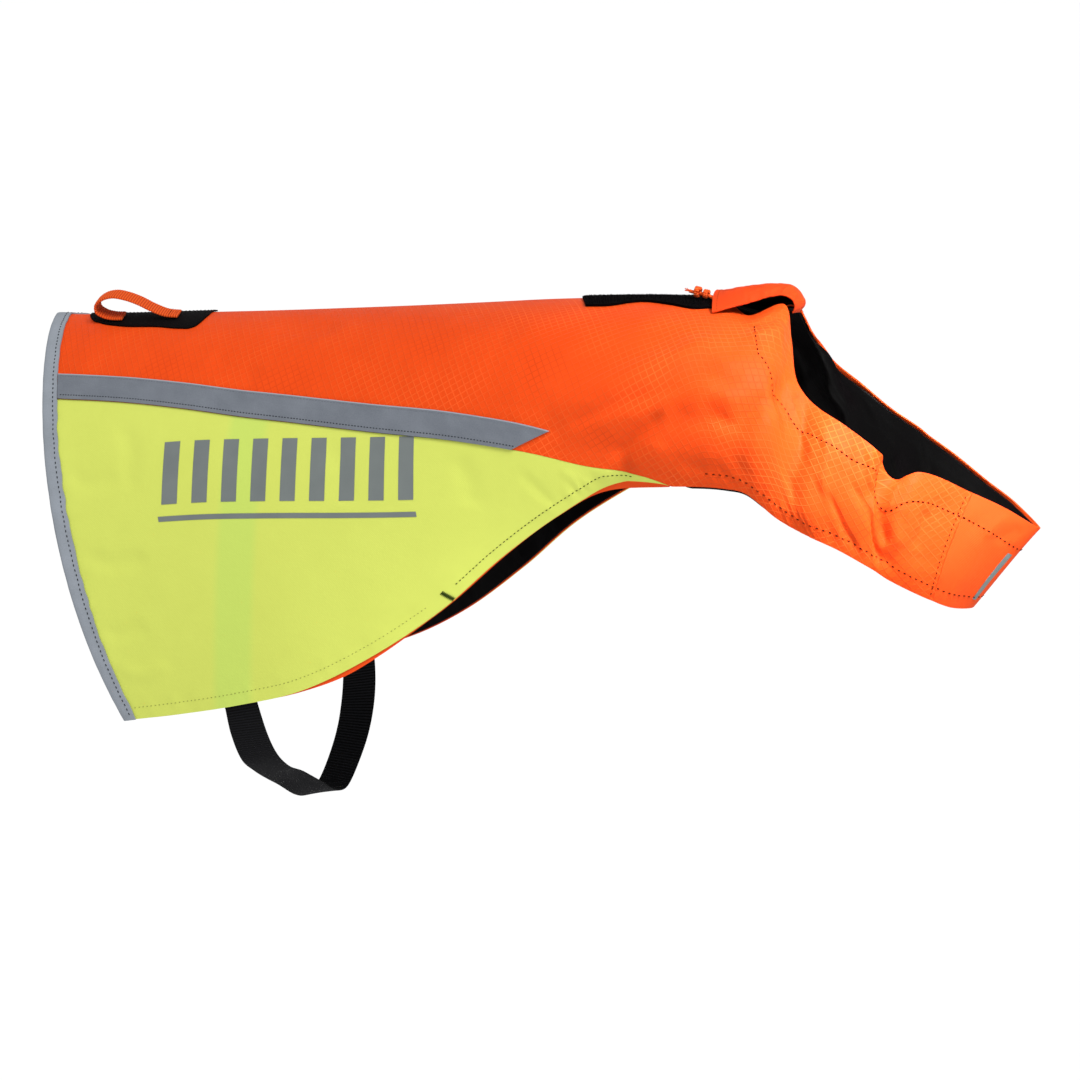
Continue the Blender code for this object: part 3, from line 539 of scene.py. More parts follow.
GRAIN_STATIONS = np.linspace(SLIT_APEX, CENTRE_FRONT, 63)


def grain(at, down, side):
    """Places on the straight grain of the cloth: along the coat, and round it from the crest."""
    at, down = np.broadcast_arrays(np.asarray(at, dtype=float), np.asarray(down, dtype=float))
    shape = at.shape
    at, down = at.ravel(), down.ravel()
    points, lengths, which = arcs(at, side)
    steps = np.linalg.norm(np.diff(points[:, :, 1:], axis=1), axis=2)
    round_it = np.concatenate([np.zeros((len(points), 1)), np.cumsum(steps, axis=1)], axis=1)
    i = np.clip((lengths[which] < down[:, None]).sum(axis=1) - 1, 0, ARC_STEPS - 1)
    s = (down - lengths[which, i]) / (lengths[which, i + 1] - lengths[which, i])
    spot = points[which, i] * (1 - s[:, None]) + points[which, i + 1] * s[:, None]
    edge = arcs(GRAIN_STATIONS, side)[0][:, 0]
    drops = np.linalg.norm(np.diff(edge[:, 1:], axis=0), axis=1) * -np.sign(np.diff(edge[:, 2]))
    fallen = np.interp(at, GRAIN_STATIONS, np.concatenate([[0.0], np.cumsum(drops)]))
    passed = fallen + round_it[which, i] * (1 - s) + round_it[which, i + 1] * s
    return np.stack([spot[:, 0], -side * passed], axis=1).reshape(shape + (2,))


def orange_low(at, side):
    """The lower edge of the orange cloth, which keeps a gap to the yellow one."""
    at = np.asarray(at, dtype=float)
    return seam_down(at, side) - np.where(at < FLANK_TIP + 1, GAP / 2, 0)


def finish_mesh(name, points, faces, places, material, sharp=50):
    """An object from points in millimetres, with its places on the grain as UVs in metres."""
    mesh = bpy.data.meshes.new(name)
    mesh.from_pydata((np.asarray(points) * MM).tolist(), [], faces)
    if places is not None:
        corners = np.zeros(len(mesh.loops), dtype=np.int32)
        mesh.loops.foreach_get("vertex_index", corners)
        cut = mesh.uv_layers.new(name="cut")
        cut.data.foreach_set("uv", (np.asarray(places)[corners] * MM).ravel())
    mesh.shade_smooth()
    mesh.set_sharp_from_angle(angle=math.radians(sharp))
    mesh.materials.append(material)
    piece = bpy.data.objects.new(name, mesh)
    bpy.context.scene.collection.objects.link(piece)
    return piece


def fasten(piece, slot, *nodes):
    """The piece moves with the coat and stands for its solids. The slot is not used."""
    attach(piece, "root")
    if nodes:
        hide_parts(*nodes)
    return piece


def closed_sheet(name, outer, inner, places, quads, material):
    """A thin closed shell: the quads, their inner copies, and a rim round every free edge."""
    quads = np.asarray(quads)
    count = len(outer)
    starts = quads.ravel()
    ends = np.roll(quads, -1, axis=1).ravel()
    keys = starts.astype(np.int64) * count + ends
    free = ~np.isin(keys, ends.astype(np.int64) * count + starts)
    rim = np.stack([ends[free], starts[free], count + starts[free], count + ends[free]], axis=1)
    faces = np.concatenate([quads, count + quads[:, ::-1], rim])
    points = np.concatenate([outer, inner])
    return finish_mesh(name, points, faces.tolist(), np.concatenate([places, places]), material)


def grid_quads(index, side):
    """Quads over a grid of point numbers, facing outwards on that side."""
    quads = np.stack([index[:-1, :-1], index[:-1, 1:], index[1:, 1:], index[1:, :-1]], axis=-1)
    quads = quads.reshape(-1, 4)
    return quads if side == RIGHT else quads[:, ::-1]


def grid_sheet(name, outer, inner, places, side, material):
    """A closed sheet from one grid of points on its outside and one on its inside."""
    index = np.arange(outer.shape[0] * outer.shape[1]).reshape(outer.shape[:2])
    return closed_sheet(name, outer.reshape(-1, 3), inner.reshape(-1, 3), places.reshape(-1, 2),
                        grid_quads(index, side), material)


def coat_sheet(name, parts, thickness, material):
    """A closed sheet from grids of (at, down, lift, side), joined where their points meet."""
    outer, inner, places, quads = [], [], [], []
    start = 0
    for at, down, lift, side in parts:
        at, down, lift = np.broadcast_arrays(at, down, np.asarray(lift, dtype=float))
        outer.append(cloth(at, down, side, lift).reshape(-1, 3))
        inner.append(cloth(at, down, side, lift - thickness).reshape(-1, 3))
        places.append(grain(at, down, side).reshape(-1, 2))
        index = start + np.arange(at.size).reshape(at.shape)
        quads.append(grid_quads(index, side))
        start += at.size
    outer, inner = np.concatenate(outer), np.concatenate(inner)
    places, quads = np.concatenate(places), np.concatenate(quads)
    marks = np.round(outer, 3) + 0.0
    kept, which = np.unique(marks, axis=0, return_index=True, return_inverse=True)[1:]
    return closed_sheet(name, outer[kept], inner[kept], places[kept],
                        which.reshape(-1)[quads], material)


def lines(start, stop, step=CELL):
    """Even places from start to stop, about a step apart."""
    return np.linspace(start, stop, max(2, round((stop - start) / step) + 1))


def new_cloth(name):
    """An empty material, its nodes, and the place on the flat cut of its piece, in metres."""
    material = new_material(name)[0]
    tree = material.node_tree
    return material, tree, add_node(tree, "UVMap", uv_map="cut").outputs["UV"]


def maths(tree, operation, *values):
    """The result of one sum on some values or other nodes' outputs."""
    return add_node(tree, "Math", dict(enumerate(values)), operation=operation).outputs[0]


def uneven(tree, place, scale, detail=2.0, roughness=0.5, distortion=0.0):
    """Values from 0 to 1 that change over a metre divided by the scale."""
    return add_node(tree, "TexNoise", {"Vector": place, "Scale": scale, "Detail": detail,
                                       "Roughness": roughness,
                                       "Distortion": distortion}).outputs["Fac"]


def spread(tree, value, low, high, at_low=0.0, at_high=1.0, **settings):
    """The value at low to high becomes at_low to at_high, and stops there."""
    return add_node(tree, "MapRange", {"Value": value, "From Min": low, "From Max": high,
                                       "To Min": at_low, "To Max": at_high},
                    **settings).outputs[0]


def between(tree, share, first, second):
    """A colour between two, each an sRGB hex colour or another node's output."""
    ends = [linear(end) if isinstance(end, str) else end for end in (first, second)]
    return add_node(tree, "Mix", {"Factor": share, "A": ends[0], "B": ends[1]},
                    data_type="RGBA").outputs["Result"]


def faced(material, colour, roughness, specular, height=None, strength=0.0, relief=0.0):
    """The material with its colour, gloss and bumps."""
    tree = material.node_tree
    shader = tree.nodes["Principled BSDF"]
    tree.links.new(colour, shader.inputs["Base Color"])
    if height is not None:
        bump = add_node(tree, "Bump", {"Height": height, "Strength": strength,
                                       "Distance": relief})
        tree.links.new(bump.outputs["Normal"], shader.inputs["Normal"])
    shader.inputs["Roughness"].default_value = roughness
    shader.inputs["Specular IOR Level"].default_value = specular
    return material


RIPSTOP_CELL = 4.3 * MM
RIPSTOP_TURN = math.radians(28)


def ripstop(name, dark, light, thread_dark, thread_light):
    """Thin nylon with a coarser thread every few millimetres, both ways, and a soft gloss.

    The thick threads are painted lighter on some stretches and darker on others, a painted
    highlight and shade for the light that they catch, and they show more towards the shoulder.
    They are drawn half a millimetre wide, coarser than real, to show at this distance.
    """
    material, tree, cut = new_cloth(name)
    turned = add_node(tree, "Mapping", {"Vector": cut, "Rotation": (0, 0, RIPSTOP_TURN),
                                        "Scale": (1 / RIPSTOP_CELL, 1 / RIPSTOP_CELL, 1)})
    apart = add_node(tree, "SeparateXYZ", {"Vector": turned.outputs["Vector"]}).outputs
    threads = [spread(tree, maths(tree, "PINGPONG", apart[way], 0.5), 0.03, 0.11, 1.0, 0.0)
               for way in ("X", "Y")]
    grid = maths(tree, "MAXIMUM", *threads)
    # Painted highlight and shade: the thick threads' colour goes from thread_dark to thread_light
    # with a broad noise.
    lit = spread(tree, uneven(tree, cut, 16.0), 0.36, 0.62)
    thread = between(tree, lit, thread_dark, thread_light)
    base = between(tree, uneven(tree, cut, 38.0, 4.0, 0.6), dark, light)
    lengthwise = add_node(tree, "SeparateXYZ", {"Vector": cut}).outputs["X"]
    shown = maths(tree, "MULTIPLY", grid, spread(tree, lengthwise, -0.20, 0.0, 0.3, 0.65))
    fine = maths(tree, "MULTIPLY_ADD", uneven(tree, cut, 900.0), 0.3, grid)
    height = maths(tree, "MULTIPLY_ADD", uneven(tree, cut, 75.0, 3.0, 0.55), 5.0, fine)
    return faced(material, between(tree, shown, base, thread), 0.5, 0.05, height, 0.5, 0.0003)


# The last two colours are the threads' painted shade and painted highlight.
orange_ripstop = ripstop("orange_ripstop_nylon", "D84413", "E34A15", "BE3A10", "F0682C")


def back_parts(start, stop, lift, rows, low_inset=0.0, top_inset=0.0):
    """Grids of the orange cloth's outline from start to stop, on both sides."""
    ends = [start] + [x for x in (FRONT_FROM, SLIT_APEX) if start < x < stop] + [stop]
    runs = [lines(a, b, FRONT_CELL if a >= FRONT_FROM else REAR_CELL)[:-1]
            for a, b in zip(ends, ends[1:])]
    at = np.concatenate(runs + [[stop]])[:, None]
    high = np.where(at > SLIT_APEX, top_inset, 0.0)
    parts = []
    for side in (RIGHT, LEFT):
        low = orange_low(at, side) - np.where(at > FLANK_TIP, low_inset, 0.0)
        parts.append((at, high + (low - high) * np.linspace(0, 1, rows), lift, side))
    return parts


back = coat_sheet("back_panel_cloth", back_parts(0.0, CHEST_SEAM - GAP / 2, 0.0, 66), SHELL,
                  orange_ripstop)
fasten(back, "orange_ripstop", "back_panel")

# The thread of the sewing is thin and spun, so it looks dark and dull where it dips into
# the cloth. Each stitch is one short thread, half sunk.
STITCH_SIDES = 4


def spun_thread(name, dark, light):
    """Dull spun polyester, a little uneven in colour along it."""
    material = new_material(name)[0]
    tree = material.node_tree
    place = add_node(tree, "TexCoord").outputs["Object"]
    return faced(material, between(tree, uneven(tree, place, 600.0), dark, light), 1.0, 0.03)


def threads_between(name, starts, ends, ups, radius, material):
    """Short threads with pointed ends, each from its start to its end."""
    run = ends - starts
    ups = unit(np.cross(run, np.cross(ups, run)))
    aside = unit(np.cross(ups, run))
    rows = [starts]
    for share in (0.25, 0.75):
        middle = starts + run * share
        for turn in np.linspace(0, math.tau, STITCH_SIDES, endpoint=False):
            rows.append(middle + radius * (math.cos(turn) * aside + math.sin(turn) * ups))
    rows.append(ends)
    points = np.stack(rows, axis=1)
    size = len(rows)
    faces = []
    for first in range(0, len(starts) * size, size):
        last = first + size - 1
        for i in range(STITCH_SIDES):
            j = (i + 1) % STITCH_SIDES
            low, low_next = first + 1 + i, first + 1 + j
            high, high_next = low + STITCH_SIDES, low_next + STITCH_SIDES
            faces += [(first, low_next, low), (low, low_next, high_next, high),
                      (last, high, high_next)]
    return finish_mesh(name, points.reshape(-1, 3), faces, None, material)


def passed_along(path):
    """How far along a path each of its points is."""
    steps = np.linalg.norm(np.diff(path, axis=0), axis=1)
    return np.concatenate([[0.0], np.cumsum(steps)])


def stitches(name, line, material, spacing, length, radius, lift):
    """A row of stitches along a line of (at, across) places, a little uneven."""
    line = np.asarray(line, dtype=float)
    passed = passed_along(line)
    close = lines(0, passed[-1], 1.0)
    places = np.stack([np.interp(close, passed, line[:, i]) for i in (0, 1)], axis=1)
    low = over(places[:, 0], places[:, 1], lift)
    high = over(places[:, 0], places[:, 1], lift + 1.0)
    run = passed_along(low)
    count = int(run[-1] / spacing)
    middles = (np.arange(count) + 0.5) * run[-1] / count
    middles = middles + [0.12 * spacing * noise.noise((i * 0.7, 3.3, 0.1)) for i in range(count)]

    def at_run(values, where):
        return np.stack([np.interp(where, run, values[:, i]) for i in range(3)], axis=1)

    starts, ends = at_run(low, middles - length / 2), at_run(low, middles + length / 2)
    ups = at_run(high, middles) - at_run(low, middles)
    return threads_between(name, starts, ends, ups, radius, material)


brown_thread = spun_thread("dark_brown_thread", "1E0703", "3E1206")
back_sewing = []
for label, line in (("right", CASING_RIGHT), ("left", CASING_LEFT)):
    back_sewing.append(stitches("casing_stitches_" + label, line, brown_thread, spacing=3.8,
                                length=2.0, radius=0.46, lift=0.32))
for label, side in SIDES:
    back_sewing.append(stitches("band_hem_stitches_" + label, band_hem_line(side), brown_thread,
                                spacing=4.5, length=2.1, radius=0.40, lift=0.12))
for piece in back_sewing:
    fasten(piece, "orange_ripstop")


# The front of the chest. A plain-weave orange piece joins both sides of the chest band, with
# a seam at either end, and is turned in at the neck and the lower edge with them.
WEAVE = 1.2 * MM


def waves(tree, value, length):
    """Even waves along a value, of that length."""
    return maths(tree, "SINE", maths(tree, "MULTIPLY", value, math.tau / length))


def plain_weave(name, dark, light, band=None):
    """Thin woven polyester: a soft matt face with fine threads both ways.

    The threads are drawn about three times as coarse as real ones, so that they show. The
    band is a faint stripe of another colour across the flank.
    """
    material, tree, cut = new_cloth(name)
    apart = add_node(tree, "SeparateXYZ", {"Vector": cut}).outputs
    woven = maths(tree, "MULTIPLY", *(waves(tree, apart[way], WEAVE) for way in ("X", "Y")))
    base = between(tree, uneven(tree, cut, 30.0, 5.0, 0.65), dark, light)
    if band:
        low = maths(tree, "ABSOLUTE", apart["Y"])
        leant = maths(tree, "MULTIPLY_ADD", low, BAND_LEAN, apart["X"])
        away = maths(tree, "ABSOLUTE", maths(tree, "SUBTRACT", leant, BAND_MIDDLE))
        shown = spread(tree, away, BAND_HALF - BAND_BLUR, BAND_HALF + BAND_BLUR, 0.6, 0.0,
                       interpolation_type="SMOOTHSTEP")
        base = between(tree, shown, base, band)
    fine = maths(tree, "MULTIPLY_ADD", woven, 0.5, uneven(tree, cut, 700.0))
    height = maths(tree, "MULTIPLY_ADD", uneven(tree, cut, 55.0, 3.0), 5.0, fine)
    return faced(material, base, 0.65, 0.08, height, 0.4, 0.0002)


orange_plain = plain_weave("orange_plain_weave_polyester", "DA4615", "E54D18")
chest = coat_sheet("chest_panel_cloth", back_parts(CHEST_SEAM + GAP / 2, CENTRE_FRONT, 0.0, 32),
                   SHELL, orange_plain)
fasten(chest, "orange_plain_weave", "chest_panel")
seam_stitches = []
for label, side in SIDES:
    row = [(CHEST_SEAM - 2.6, -side * down) for down in (3.0, 20.0, 40.0, 60.0, 73.0)]
    seam_stitches.append(stitches("chest_seam_stitches_" + label, row, brown_thread, spacing=3.6,
                                  length=1.7, radius=0.38, lift=0.1))
    fasten(seam_stitches[-1], "orange_ripstop")


# The lining. Black coated cloth with a slick face lies behind the back, the shoulders and
# the chest in one ring, and behind each flank, where it steps in over the facing.
EDGE_INSET = 1.5
NECK_SLACK = 0.5
LINING_PROUD = 2.4
PROUD_FROM_TO = (450.0, 12.0, 534.0, 20.0)
TURNED_IN_LEFT = 3.5
TURNED_IN_FROM_TO = (536.0, 10.0, 600.0, 25.0)
FACING_WIDTH = 18.0


def slick_cloth(name, dark, light):
    """Coated lining: nearly black, with a faint blue-grey gloss over fine crumples, and a painted
    sheen that makes the raised crumples a little lighter.
    """
    material, tree, cut = new_cloth(name)
    crumples_and_sheen = uneven(tree, cut, 60.0, 6.0, 0.6, 0.6)
    # Painted sheen: the colour follows the crumples' height, lighter on the raised ones.
    return faced(material, between(tree, crumples_and_sheen, dark, light), 0.42, 0.05, crumples_and_sheen, 0.35, 0.002)


# Its lighter colour is the painted sheen on the raised crumples.
black_lining = slick_cloth("black_coated_lining", "060405", "0C0A0B")
lining_lift = -SHELL - GAP
lining_share = np.linspace(0, 1, 52)
ring = []

# At the neck it lies a little slack. Under the chest band it hangs a little below the hem,
# and at the left shoulder it is turned in behind the neck edge.
for at, down, lift, side in back_parts(EDGE_INSET, CENTRE_FRONT, lining_lift, 52,
                                       low_inset=EDGE_INSET, top_inset=EDGE_INSET):
    slack = np.where(at > SLIT_APEX, NECK_SLACK * ease((16 - down) / 8), 0.0)
    proud = (EDGE_INSET + LINING_PROUD) * stretch(at, *PROUD_FROM_TO)
    down = down + proud * lining_share ** 4
    if side == LEFT:
        turned_in = TURNED_IN_LEFT * stretch(at, *TURNED_IN_FROM_TO)
        down = down + turned_in * ease((12 - down) / 9)
    ring.append((at, down, lining_lift - slack, side))
lining = coat_sheet("lining_back_cloth", ring, LINING, black_lining)
fasten(lining, "black_coated_lining", "lining_back")


def facing_top(at, side):
    """Where the facing behind the yellow edge begins."""
    low = depth(at, side)
    return low - np.minimum(FACING_WIDTH, (low - seam_down(at, side)) / 2)


for label, side in SIDES:
    at = lines(EDGE_INSET, FLANK_TIP)[:, None]
    high = seam_down(at, side) + GAP / 2
    low = depth(at, side) - (EDGE_INSET if side == RIGHT else 0.4)
    down = high + (low - high) * np.linspace(0, 1, 60)
    behind = ease((down - facing_top(at, side) + 4) / 3.5)
    behind = behind * ease((at - BINDING_WIDTH - 0.6) / 3.4)
    lift = lining_lift - (FACING + GAP) * behind
    piece = coat_sheet("lining_flank_" + label + "_cloth", [(at, down, lift, side)], LINING,
                       black_lining)
    fasten(piece, "black_coated_lining", "lining_flank_" + label)


# The flanks. Fluorescent yellow plain-weave cloth is sewn to the back under the tape, and its
# curved lower edge is turned over the facing and topstitched. The strap's inner patch shows
# through it as a faint green band.
BAND_MIDDLE = -0.2654
BAND_LEAN = 0.065
BAND_HALF = 0.0135
BAND_BLUR = 0.004
TACK_FROM = 264.5
TACK_TO = 271.5
TACK_ABOVE = 9.5
TACK_HALF = 1.8
TACK_THREADS = 17

yellow_cloth = plain_weave("fluorescent_yellow_weave", "C3CD5C", "CAD462", band="B6D162")
olive_thread = spun_thread("light_olive_thread", "777C3A", "8D9349")
green_thread = spun_thread("dark_green_thread", "263312", "3F4E1E")
flank_sewing = {}
for label, side in SIDES:
    at = lines(0.0, FLANK_TIP)[:, None]
    high = seam_down(at, side) + GAP / 2
    down = high + (yellow_low(at, side) - high) * np.linspace(0, 1, 62)
    piece = coat_sheet("flank_" + label + "_cloth", [(at, down, 0.0, side)], SHELL, yellow_cloth)
    fasten(piece, "yellow_fluorescent_cloth", "flank_" + label)
    flank_sewing[side] = []
    for part, start, stop, length, radius, thread in (
            ("rear", 12.0, 252.0, 1.3, 0.26, olive_thread),
            ("front", 275.0, 424.0, 1.8, 0.36, green_thread)):
        row = stitches("topstitches_" + part + "_" + label, topstitch_line(side, start, stop),
                       thread, spacing=3.1, length=length, radius=radius, lift=0.08)
        flank_sewing[side].append(fasten(row, "yellow_fluorescent_cloth"))
    share = np.linspace(0, 1, TACK_THREADS)
    at = TACK_FROM + (TACK_TO - TACK_FROM) * share
    down = depth(at, side) - TACK_ABOVE * (1 - share) - 0.8
    zigzag = 0.5 * (-1) ** np.arange(TACK_THREADS)
    starts = cloth(at - TACK_HALF, down + 1.0 + zigzag, side, 0.15)
    ends = cloth(at + TACK_HALF, down - 1.0 - zigzag, side, 0.15)
    ups = cloth(at, down, side, 1.0) - cloth(at, down, side, 0.0)
    tack = threads_between("bar_tack_" + label, starts, ends, ups, 0.4, green_thread)
    flank_sewing[side].append(fasten(tack, "yellow_fluorescent_cloth"))


# The reflective bars. Plain slanted bars of grey reflective film are pressed on each flank in
# one row over a thin line, and one narrow upright bar on either side of the chest's front.
BAR_COUNT = 9
BAR_FIRST = 76.0
BAR_SPACING = 21.5
BAR_WIDTH = 11.0
BAR_SLANT = 9.0
BAR_TOP = 134.0
BAR_LOW = 176.0
BAR_LINE = (184.0, 187.5)
CHEST_BAR_AT = 724.5
CHEST_BAR_WIDTH = 3.0
CHEST_BAR_DOWN = (24, 62)
CHEST_BAR_LEAN = 0.06
FILM_LIFT = 0.25
FILM_THICK = 0.2


def reflective_film(name, dark, light):
    """Heat-pressed bead film: smooth grey, a little glossier than the tape."""
    material, tree, cut = new_cloth(name)
    return faced(material, between(tree, uneven(tree, cut, 60.0, 3.0), dark, light), 0.45, 0.12)


grey_film = reflective_film("grey_bead_film", "666C6C", "747A78")
for label, side in SIDES:
    parts = []
    for i in range(BAR_COUNT):
        down = np.linspace(BAR_TOP, BAR_LOW, 20)[None, :]
        first = BAR_FIRST + i * BAR_SPACING
        lean = BAR_SLANT * (BAR_LOW - down) / (BAR_LOW - BAR_TOP)
        at = first + lean + np.linspace(0, BAR_WIDTH, 6)[:, None]
        parts.append((at, down, FILM_LIFT, side))
    last = BAR_FIRST + BAR_COUNT * BAR_SPACING - (BAR_SPACING - BAR_WIDTH)
    down = np.linspace(*BAR_LINE, 3)[None, :]
    parts.append((lines(BAR_FIRST - 4, last)[:, None], down, FILM_LIFT, side))
    bars = coat_sheet("reflective_bars_" + label, parts, FILM_THICK, grey_film)
    flank_sewing[side].append(fasten(bars, "silver_reflective_tape"))
chest_down = np.linspace(*CHEST_BAR_DOWN, 16)[None, :]
chest_at = CHEST_BAR_AT + CHEST_BAR_LEAN * (CHEST_BAR_DOWN[1] - chest_down)
chest_at = chest_at + np.linspace(0, CHEST_BAR_WIDTH, 4)[:, None]
chest_bars = coat_sheet("reflective_bars_chest",
                        [(chest_at, chest_down, FILM_LIFT, side) for side in (RIGHT, LEFT)],
                        FILM_THICK, grey_film)
fasten(chest_bars, "silver_reflective_tape")


# The facings. A strip of the orange cloth is sewn behind each yellow edge and stands a
# little proud of it, so it shows as a thin orange line under the flank.
FACING_PROUD = {"at": (24, 150, 190, 215, 245, 300, 335, 380, 420, 446),
                "proud": (0.5, 1.0, 3.5, 2.5, 1.0, 1.5, 0.8, 1.2, 2.2, 1.2)}
FACING_PROUD_LEFT = 0.3
FACING_REAR = 14.0
for label, side in SIDES:
    at = lines(FACING_REAR, FLANK_TIP)[:, None]
    high = facing_top(at, side) + GAP
    proud = hermite(FACING_PROUD["at"], FACING_PROUD["proud"], at)
    low = depth(at, side) + (proud if side == RIGHT else FACING_PROUD_LEFT)
    down = high + (low - high) * np.linspace(0, 1, 11)
    piece = coat_sheet("facing_" + label + "_cloth", [(at, down, lining_lift, side)], FACING,
                       orange_plain)
    fasten(piece, "orange_plain_weave", "facing_" + label)


# The reflective tapes. A woven tape with a grey glass-bead face is laid on the orange cloth
# along each seam and sewn down on both edges, with its front end cut at a slant.
TAPE_WIDTH = 19.0
TAPE_END_LOW = 339.0
TAPE_END_HIGH = 370.0
SELVEDGE = 0.7 * MM


def reflective_tape(name, dark, light, edge):
    """Glass-bead tape: a dull grey face with fine specks, and a light woven edge."""
    material, tree, cut = new_cloth(name)
    across = add_node(tree, "SeparateXYZ", {"Vector": cut}).outputs["Y"]
    cloudy = uneven(tree, cut, 45.0, 5.0, 0.6)
    mixed = maths(tree, "MULTIPLY_ADD", uneven(tree, cut, 1100.0), 0.5, cloudy)
    base = between(tree, spread(tree, mixed, 0.5, 1.0), dark, light)
    rim = maths(tree, "MULTIPLY", maths(tree, "LESS_THAN", across, SELVEDGE), 0.6)
    return faced(material, between(tree, rim, base, edge), 0.55, 0.12, mixed, 0.3, 0.0003)


grey_tape = reflective_tape("grey_glass_bead_tape", "636870", "737880", "A9ADB3")
grey_thread = spun_thread("dark_grey_thread", "1E2023", "34373B")
light_thread = spun_thread("grey_thread", "5A5E66", "7A7F88")
for label, side in SIDES:
    share = np.linspace(0, 1, 10)[None, :]
    end = TAPE_END_HIGH + (TAPE_END_LOW - TAPE_END_HIGH) * share
    start = BINDING_WIDTH + 2 * GAP
    at = start + (end - start) * np.linspace(0, 1, 150)[:, None]
    down = orange_low(at, side) - TAPE_WIDTH * (1 - share)
    places = np.stack(np.broadcast_arrays(at, TAPE_WIDTH * share), axis=-1)
    piece = grid_sheet("tape_" + label + "_cloth", cloth(at, down, side, GAP + TAPE),
                       cloth(at, down, side, GAP), places, side, grey_tape)
    fasten(piece, "silver_reflective_tape", "tape_" + label)
    for edge, off, last, radius, thread in (
            ("upper", TAPE_WIDTH - 1.8, 366.0, 0.3, light_thread),
            ("lower", 2.8, 342.0, 0.36, grey_thread)):
        at = np.linspace(12, last, 60)
        row = np.stack([at, -side * (orange_low(at, side) - off)], axis=1)
        row = stitches("tape_stitches_" + edge + "_" + label, row, thread, spacing=2.2,
                       length=1.4, radius=radius, lift=GAP + TAPE)
        fasten(row, "silver_reflective_tape")


# The rear binding. The same grey tape is folded over the rear hem, over the outside, the
# edge and the lining, and sewn through with one line of stitches.
BINDING_PROFILE_OUTER = ((10.0, 1.3), (7.0, 1.15), (3.5, 1.3), (0.6, 1.25), (-0.7, 0.9),
                         (-1.3, 0.0), (-1.3, -2.2), (-0.8, -3.2), (0.6, -3.6), (3.5, -3.6),
                         (7.0, -3.6), (10.0, -3.6))
BINDING_PROFILE_INNER = ((10.0, -2.6), (7.0, -2.6), (3.5, -2.6), (-0.3, -2.6), (-0.3, 0.3),
                         (3.5, 0.3), (7.0, 0.3), (10.0, 0.3))
BINDING_WAVER = {"orange": 0.3, "yellow": 1.1}


def round_faces(count, sides, start=0):
    """The faces of a closed tube of rings, with its first and last ring filled."""
    index = start + np.arange(count * sides).reshape(count, sides)
    turned = np.roll(index, -1, axis=1)
    quads = np.stack([index[:-1], turned[:-1], turned[1:], index[1:]], axis=-1)
    return quads.reshape(-1, 4).tolist() + [index[0, ::-1].tolist(), index[-1].tolist()]


def loft(name, rings, places, material, sharp=50):
    """A closed body through rings of points."""
    rings = np.asarray(rings)
    faces = round_faces(*rings.shape[:2])
    return finish_mesh(name, rings.reshape(-1, 3), faces, places, material, sharp)


hem_length = float(depth(0.0))
profile = np.array(BINDING_PROFILE_OUTER + BINDING_PROFILE_INNER)
rings = []
ring_places = []
for across in lines(-hem_length, hem_length):
    side = RIGHT if across >= 0 else LEFT
    drawn = ease((abs(across) - 92) / 20)
    waver = BINDING_WAVER["orange"] * (1 - drawn) + BINDING_WAVER["yellow"] * drawn
    waver = waver * noise.noise((across * 0.11, 5.1, 0.3)) * (profile[:, 0] > 9)
    at = profile[:, 0] + waver
    down = abs(across) * depth(profile[:, 0], side) / hem_length
    rings.append(cloth(at, down, side, profile[:, 1]))
    ring_places.append(np.stack([profile[:, 0], np.full(len(profile), across)], axis=1))
# The binding's colours are lighter than the tape's, though it is the same tape: painted highlight.
binding_face = reflective_tape("grey_bead_binding", "82888F", "90969F", "90969F")
binding = loft("rear_binding_cloth", rings, np.concatenate(ring_places), binding_face)
fasten(binding, "silver_reflective_tape", "rear_binding")
row = [(HEM_STITCH_AT, across) for across in lines(-322, 322, 6.0)]
hem_stitches = stitches("binding_stitches", row, grey_thread, spacing=3.4, length=2.0,
                        radius=0.42, lift=1.2)
fasten(hem_stitches, "silver_reflective_tape")


# The patch under the handle. It is black webbing cloth with a rounded rear end, laid over
# the crest and sewn round its edge.
PATCH = {"at": (25, 28, 36, 50, 80, 96, 104, 109, 112, 114),
         "reach": (8, 17, 25, 31, 36, 40, 40, 35, 26, 14)}
PATCH_LEFT_SHARE = 0.3
PATCH_THICK = 1.0


def woven_band(name, dark, light, rib, roughness, specular):
    """Heavy webbing: raised ribs across it, dull, with painted highlight on the ribs' tops and
    painted shade between them.
    """
    material, tree, cut = new_cloth(name)
    along = add_node(tree, "SeparateXYZ", {"Vector": cut}).outputs["X"]
    fuzz = uneven(tree, cut, 900.0, 3.0)
    height = maths(tree, "MULTIPLY_ADD", waves(tree, along, rib), 0.5, fuzz)
    # Painted highlight and shade: the colour follows the ribs' height, lighter on top and darker
    # between.
    base = between(tree, spread(tree, height, 0.0, 1.0), dark, light)
    return faced(material, base, roughness, specular, height, 0.6, 0.0004)


